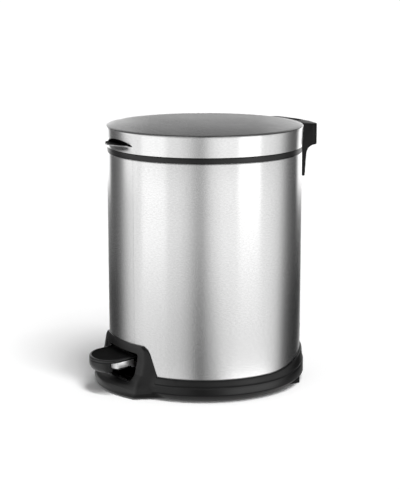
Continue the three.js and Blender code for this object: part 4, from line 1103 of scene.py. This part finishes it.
# head down, with a crossed slot
def makeScrew(node, name):
    middle, size = measure(node)
    half, head, neck = size[2] / 2, screw["head"], screw["headHigh"] - size[2] / 2
    outline = rounded([(0, half), (screw["shank"], half), (screw["shank"], neck), (head, neck),
                       (head, -half + 0.7), (head - 0.9, -half), (0, -half)], [0, 0.4, 0, 0.2, 0.5, 0.5, 0])
    wide, long, deep = screw["slotWide"] / 2, screw["slotLong"] / 2, screw["slotDeep"]
    cuts = [brick("slot", -x, x, -y, y, -half - 1, -half + deep) for x, y in ((long, wide), (wide, long))]
    return moved(carve(turned(name, outline, 32, 40), cuts), middle)


screws = {"bin": ("cover_screw_1", "cover_screw_2", "cover_screw_3", "bearing_screw_right",
                  "bearing_screw_left"),
          "lid": ("lid_screw_front", "lid_screw_rear"), "pedal": ("pedal_screw_right", "pedal_screw_left")}
for body, nodes in screws.items():
    for node in nodes:
        words = node.split("_")
        name = words[0] + words[1].capitalize() + words[2].capitalize()
        dress(makeScrew(node, name), "zincSteel", body, "zinc_steel", node)
print("pins, rod and screws made")

# pieces whose solids already have the right shape
keptNodes = {"darkPlastic": ("base_deck", "bottom_cover", "pedal_bearing_right", "pedal_bearing_left"),
             "zincSteel": ("hinge_screw_right", "hinge_screw_left")}
for material, nodes in keptNodes.items():
    for node in nodes:
        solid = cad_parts[node]
        solid.data.materials.clear()
        solid.data.materials.append(finish[material])


# floor and surroundings
studio = {"floorSize": 60.0, "floorColour": 0.9, "floorDrop": 0.0003, "floorLift": 0.05, "plain": 0.33,
          "ringRadius": 0.75, "ringHeight": 1.5, "ringStart": 0.094, "ringLift": 0.0004,
          "ringSteps": (0.3, 0.5), "wallStep": 0.4, "cameraTurn": 60.0}


# one where the camera or a mirror looks, and nothing where the room only lights the can
def seenRays(tree):
    path = tree.nodes.new("ShaderNodeLightPath").outputs
    mirrors = mathNode(tree, "MAXIMUM", path["Is Glossy Ray"], path["Is Transmission Ray"])
    return mathNode(tree, "MAXIMUM", path["Is Camera Ray"], mirrors)


def makeFloor():
    mesh = bpy.data.meshes.new("floor")
    half = studio["floorSize"] / 2
    mesh.from_pydata([(x, y, 0) for x, y in rectangle(-half, half, -half, half)], [], [(0, 1, 2, 3)])
    floor = linkObject("floor", mesh)
    floor.location.z = -studio["floorDrop"]
    material, tree, shader = startMaterial("paleFloor")
    tree.nodes.remove(shader)
    matt = addNode(tree, "ShaderNodeBsdfDiffuse", Color=asColour(studio["floorColour"]))
    glow = addNode(tree, "ShaderNodeEmission", Color=asColour(1),
                   Strength=mathNode(tree, "MULTIPLY", seenRays(tree), studio["floorLift"]))
    both = tree.nodes.new("ShaderNodeAddShader")
    feed(tree, both.inputs[0], matt.outputs[0])
    feed(tree, both.inputs[1], glow.outputs[0])
    feed(tree, tree.nodes["Material Output"].inputs["Surface"], both.outputs[0])
    mesh.materials.append(material)


def makeWorld():
    world = bpy.data.worlds.new("paleRoom")
    bpy.context.scene.world = world
    world.use_nodes = True
    tree = world.node_tree
    back = tree.nodes["Background"].inputs
    back["Color"].default_value = asColour(1)
    strength = mathNode(tree, "MULTIPLY_ADD", seenRays(tree), 1.0 - studio["plain"], studio["plain"])
    feed(tree, back["Strength"], strength)


# brightness of the soft panels and dark flags round the can, by turn from the camera's side:
# on the floor close by, and on the walls
lowPanels = [(-180, 0.42), (-168, 0.12), (-150, 0.05), (-132, 0.05), (-122, 0.13), (-112, 0.36), (-102, 0.62),
             (-92, 0.82), (-80, 0.84), (-50, 0.72), (-32, 0.6), (-20, 0.41), (-10, 0.18), (-4, 0.15), (6, 0.37),
             (20, 0.72), (38, 0.88), (64, 0.92), (80, 0.9), (94, 0.72), (104, 0.38), (112, 0.14), (126, 0.05),
             (150, 0.03), (164, 0.1), (175, 0.42), (180, 0.42)]
highPanels = [(-180, 0.6), (-172, 0.35), (-160, 0.16), (-132, 0.13), (-120, 0.22), (-110, 0.5), (-100, 0.8),
              (-91, 0.98), (-50, 1.1), (-30, 1.08), (-18, 0.88), (-9, 0.6), (-3, 0.56), (8, 1.06), (22, 1.26),
              (38, 1.22), (68, 1.12), (84, 1.04), (98, 0.86), (108, 0.48), (117, 0.22), (132, 0.1),
              (153, 0.08), (168, 0.22), (176, 0.6), (180, 0.6)]
wallStarts = (0.45, 0.78)  # along the way outwards over the floor and up the wall, in metres
# single soft boxes: turn from and to, edge, brightness, and where each starts up the wall
softBoxes = {
    "leftStrip": {"from": -79, "to": -45, "edge": 2.0, "level": 1.42, "start": 0.60, "full": 0.80},
    "rightStrip": {"from": 40, "to": 68, "edge": 2.0, "level": 1.9, "start": 0.77, "full": 0.86},
    "rearRight": {"from": 143, "to": 181, "edge": 10.0, "level": 1.5, "start": 0.80, "full": 0.87},
    "rearLeft": {"from": -181, "to": -150, "edge": 10.0, "level": 1.5, "start": 0.81, "full": 0.88},
    "frontGlow": {"from": -108, "to": -82, "edge": 10.0, "level": 1.4, "start": 0.86, "full": 0.96},
    "upperLeft": {"from": -142, "to": -106, "edge": 16.0, "level": 0.6, "start": 1.02, "full": 1.2},
}
# the same close to the foot of the can, lit only between near and far
footBoxes = {
    "rightFoot": {"from": 26, "to": 84, "edge": 22.0, "level": 2.1, "near": 0.09, "far": 0.168},
    "leftFoot": {"from": -150, "to": -20, "edge": 30.0, "level": 0.9, "near": 0.09, "far": 0.18},
    # a dim band right round the can's foot: painted shade that stands in for the floor's contact shadow in
    # reflections
    "contactShade": {"from": -190, "to": 190, "edge": 4.0, "level": 0.3, "near": 0.08, "far": 0.126},
}
# how the whole dims up the wall, by share of its height: towards the camera's sides, and before and behind it
sideDim = [(0.0, 1.0), (0.215, 1.0), (0.25, 0.8), (0.27, 0.5), (0.288, 0.22), (0.31, 0.1), (0.5, 0.06),
           (1.0, 0.06)]
frontDim = [(0.0, 1.0), (0.16, 1.0), (0.28, 0.2), (0.6, 0.15), (0.9, 0.5), (1.0, 0.6)]
sideShare = [(0.0, 0.25), (0.12, 1.0), (0.6, 1.0), (0.72, 0.0), (1.0, 0.0)]
footFade = 0.012
brightest = 3.5


def makeRing():
    radius, lift, high = studio["ringRadius"], studio["ringLift"], studio["ringHeight"]
    profile = [(r, lift) for r in (studio["ringStart"], *studio["ringSteps"], radius)]
    profile += [(radius, studio["wallStep"]), (radius, high), (0.0, high)]
    steps = 96
    mesh = bpy.data.meshes.new("softPanels")
    mesh.from_pydata([onTurn(360 * i / steps, r, z) for i in range(steps) for r, z in profile], [],
                     wallFaces(steps, len(profile)))
    ring = linkObject("softPanels", mesh)
    for rays in ("camera", "diffuse", "shadow", "transmission", "volume_scatter"):
        setattr(ring, "visible_" + rays, False)
    mesh.materials.append(makePanelLight())


def makePanelLight():
    material, tree, shader = startMaterial("softPanels")
    tree.nodes.remove(shader)
    place = addNode(tree, "ShaderNodeTexCoord").outputs["Object"]
    x, y, z = addNode(tree, "ShaderNodeSeparateXYZ", Vector=place).outputs

    def multiply(a, b):
        return mathNode(tree, "MULTIPLY", a, b)

    def add(a, b):
        return mathNode(tree, "ADD", a, b)

    def subtract(a, b):
        return mathNode(tree, "SUBTRACT", a, b)

    outward = mathNode(tree, "SQRT", add(multiply(x, x), multiply(y, y)))
    fromCamera = subtract(mathNode(tree, "ARCTAN2", x, multiply(y, -1.0)), math.radians(studio["cameraTurn"]))
    wrapped = mathNode(tree, "WRAP", fromCamera, math.pi, -math.pi)
    # a panel close to the round wall shows wider in it than a far one
    can = tube["radius"] * mm
    near = mathNode(tree, "DIVIDE", can, subtract(multiply(outward, 2.0), can))
    wide = multiply(wrapped, add(near, 1.0))
    share = mathNode(tree, "MULTIPLY_ADD", wide, 1 / (2 * math.pi), 0.5)
    way = add(outward, z)

    def panels(stops):
        return rampNode(tree, share, [((turn + 180) / 360, level / brightest) for turn, level in stops])

    def climb(start, end):
        return mapped(tree, way, start, end, way="SMOOTHSTEP")

    def within(box):
        rise = mathNode(tree, "SMOOTH_MIN", subtract(wide, math.radians(box["from"])),
                        subtract(math.radians(box["to"]), wide), 0.0)
        inside = mathNode(tree, "MULTIPLY_ADD", rise, 1 / math.radians(box["edge"]), 0.5)
        return addNode(tree, "ShaderNodeClamp", Value=inside).outputs[0]

    def lit(below, box, reach):
        return mixColour(tree, multiply(within(box), reach), below, asColour(box["level"] / brightest))

    light = mixColour(tree, climb(*wallStarts), panels(lowPanels), panels(highPanels))
    for box in softBoxes.values():
        light = lit(light, box, climb(box["start"], box["full"]))
    for box in footBoxes.values():
        light = lit(light, box, subtract(climb(box["near"] - footFade, box["near"] + footFade),
                                         climb(box["far"] - footFade, box["far"] + footFade)))
    up = multiply(z, 1 / studio["ringHeight"])
    aside = rampNode(tree, multiply(mathNode(tree, "ABSOLUTE", wrapped), 1 / math.pi), sideShare)
    dim = mixColour(tree, aside, rampNode(tree, up, sideDim), rampNode(tree, up, frontDim))
    dimmed = mixColour(tree, 1.0, light, dim, "MULTIPLY")
    glow = addNode(tree, "ShaderNodeEmission", Strength=brightest, Color=dimmed)
    feed(tree, tree.nodes["Material Output"].inputs["Surface"], glow.outputs[0])
    return material


# a tall strip of light at the right, and a fainter one, as columns of soft suns that reflections leave out
keyStrips = {
    "keyStrip": {"turn": 109.0, "heights": (60.0, 67.0, 72.0, 76.0, 80.0, 83.0), "softness": 7.0,
                 "strength": 0.33},
    "sideStrip": {"turn": 90.0, "heights": (48.0, 60.0), "softness": 20.0, "strength": 0.36},
}


def makeLamps():
    for label, column in keyStrips.items():
        for i, height in enumerate(column["heights"]):
            light = bpy.data.lights.new(label + str(i + 1), "SUN")
            light.angle = math.radians(column["softness"])
            light.energy = column["strength"]
            holder = linkObject(light.name, light)
            rise = math.radians(height)
            toLamp = Vector(onTurn(column["turn"], math.cos(rise), math.sin(rise)))
            holder.location = toLamp * 2
            holder.rotation_euler = (-toLamp).to_track_quat("-Z", "Y").to_euler()
            holder.visible_glossy = False


cameraView = {"place": (1.3256, -0.7653, 0.4555), "pitch": 11.59, "turn": 60.0, "lens": 108.85, "film": 36.0,
              "shiftX": -0.0095, "farthest": 200.0}


def makeCamera():
    camera = bpy.data.cameras.new("camera")
    camera.lens = cameraView["lens"]
    camera.sensor_width = cameraView["film"]
    camera.shift_x = cameraView["shiftX"]
    camera.clip_end = cameraView["farthest"]
    holder = linkObject("camera", camera)
    holder.location = cameraView["place"]
    holder.rotation_euler = (math.radians(90 - cameraView["pitch"]), 0, math.radians(cameraView["turn"]))
    bpy.context.scene.camera = holder


makeFloor()
makeWorld()
makeRing()
makeLamps()
makeCamera()
bpy.context.scene.view_settings.view_transform = "Standard"
print("studio made")
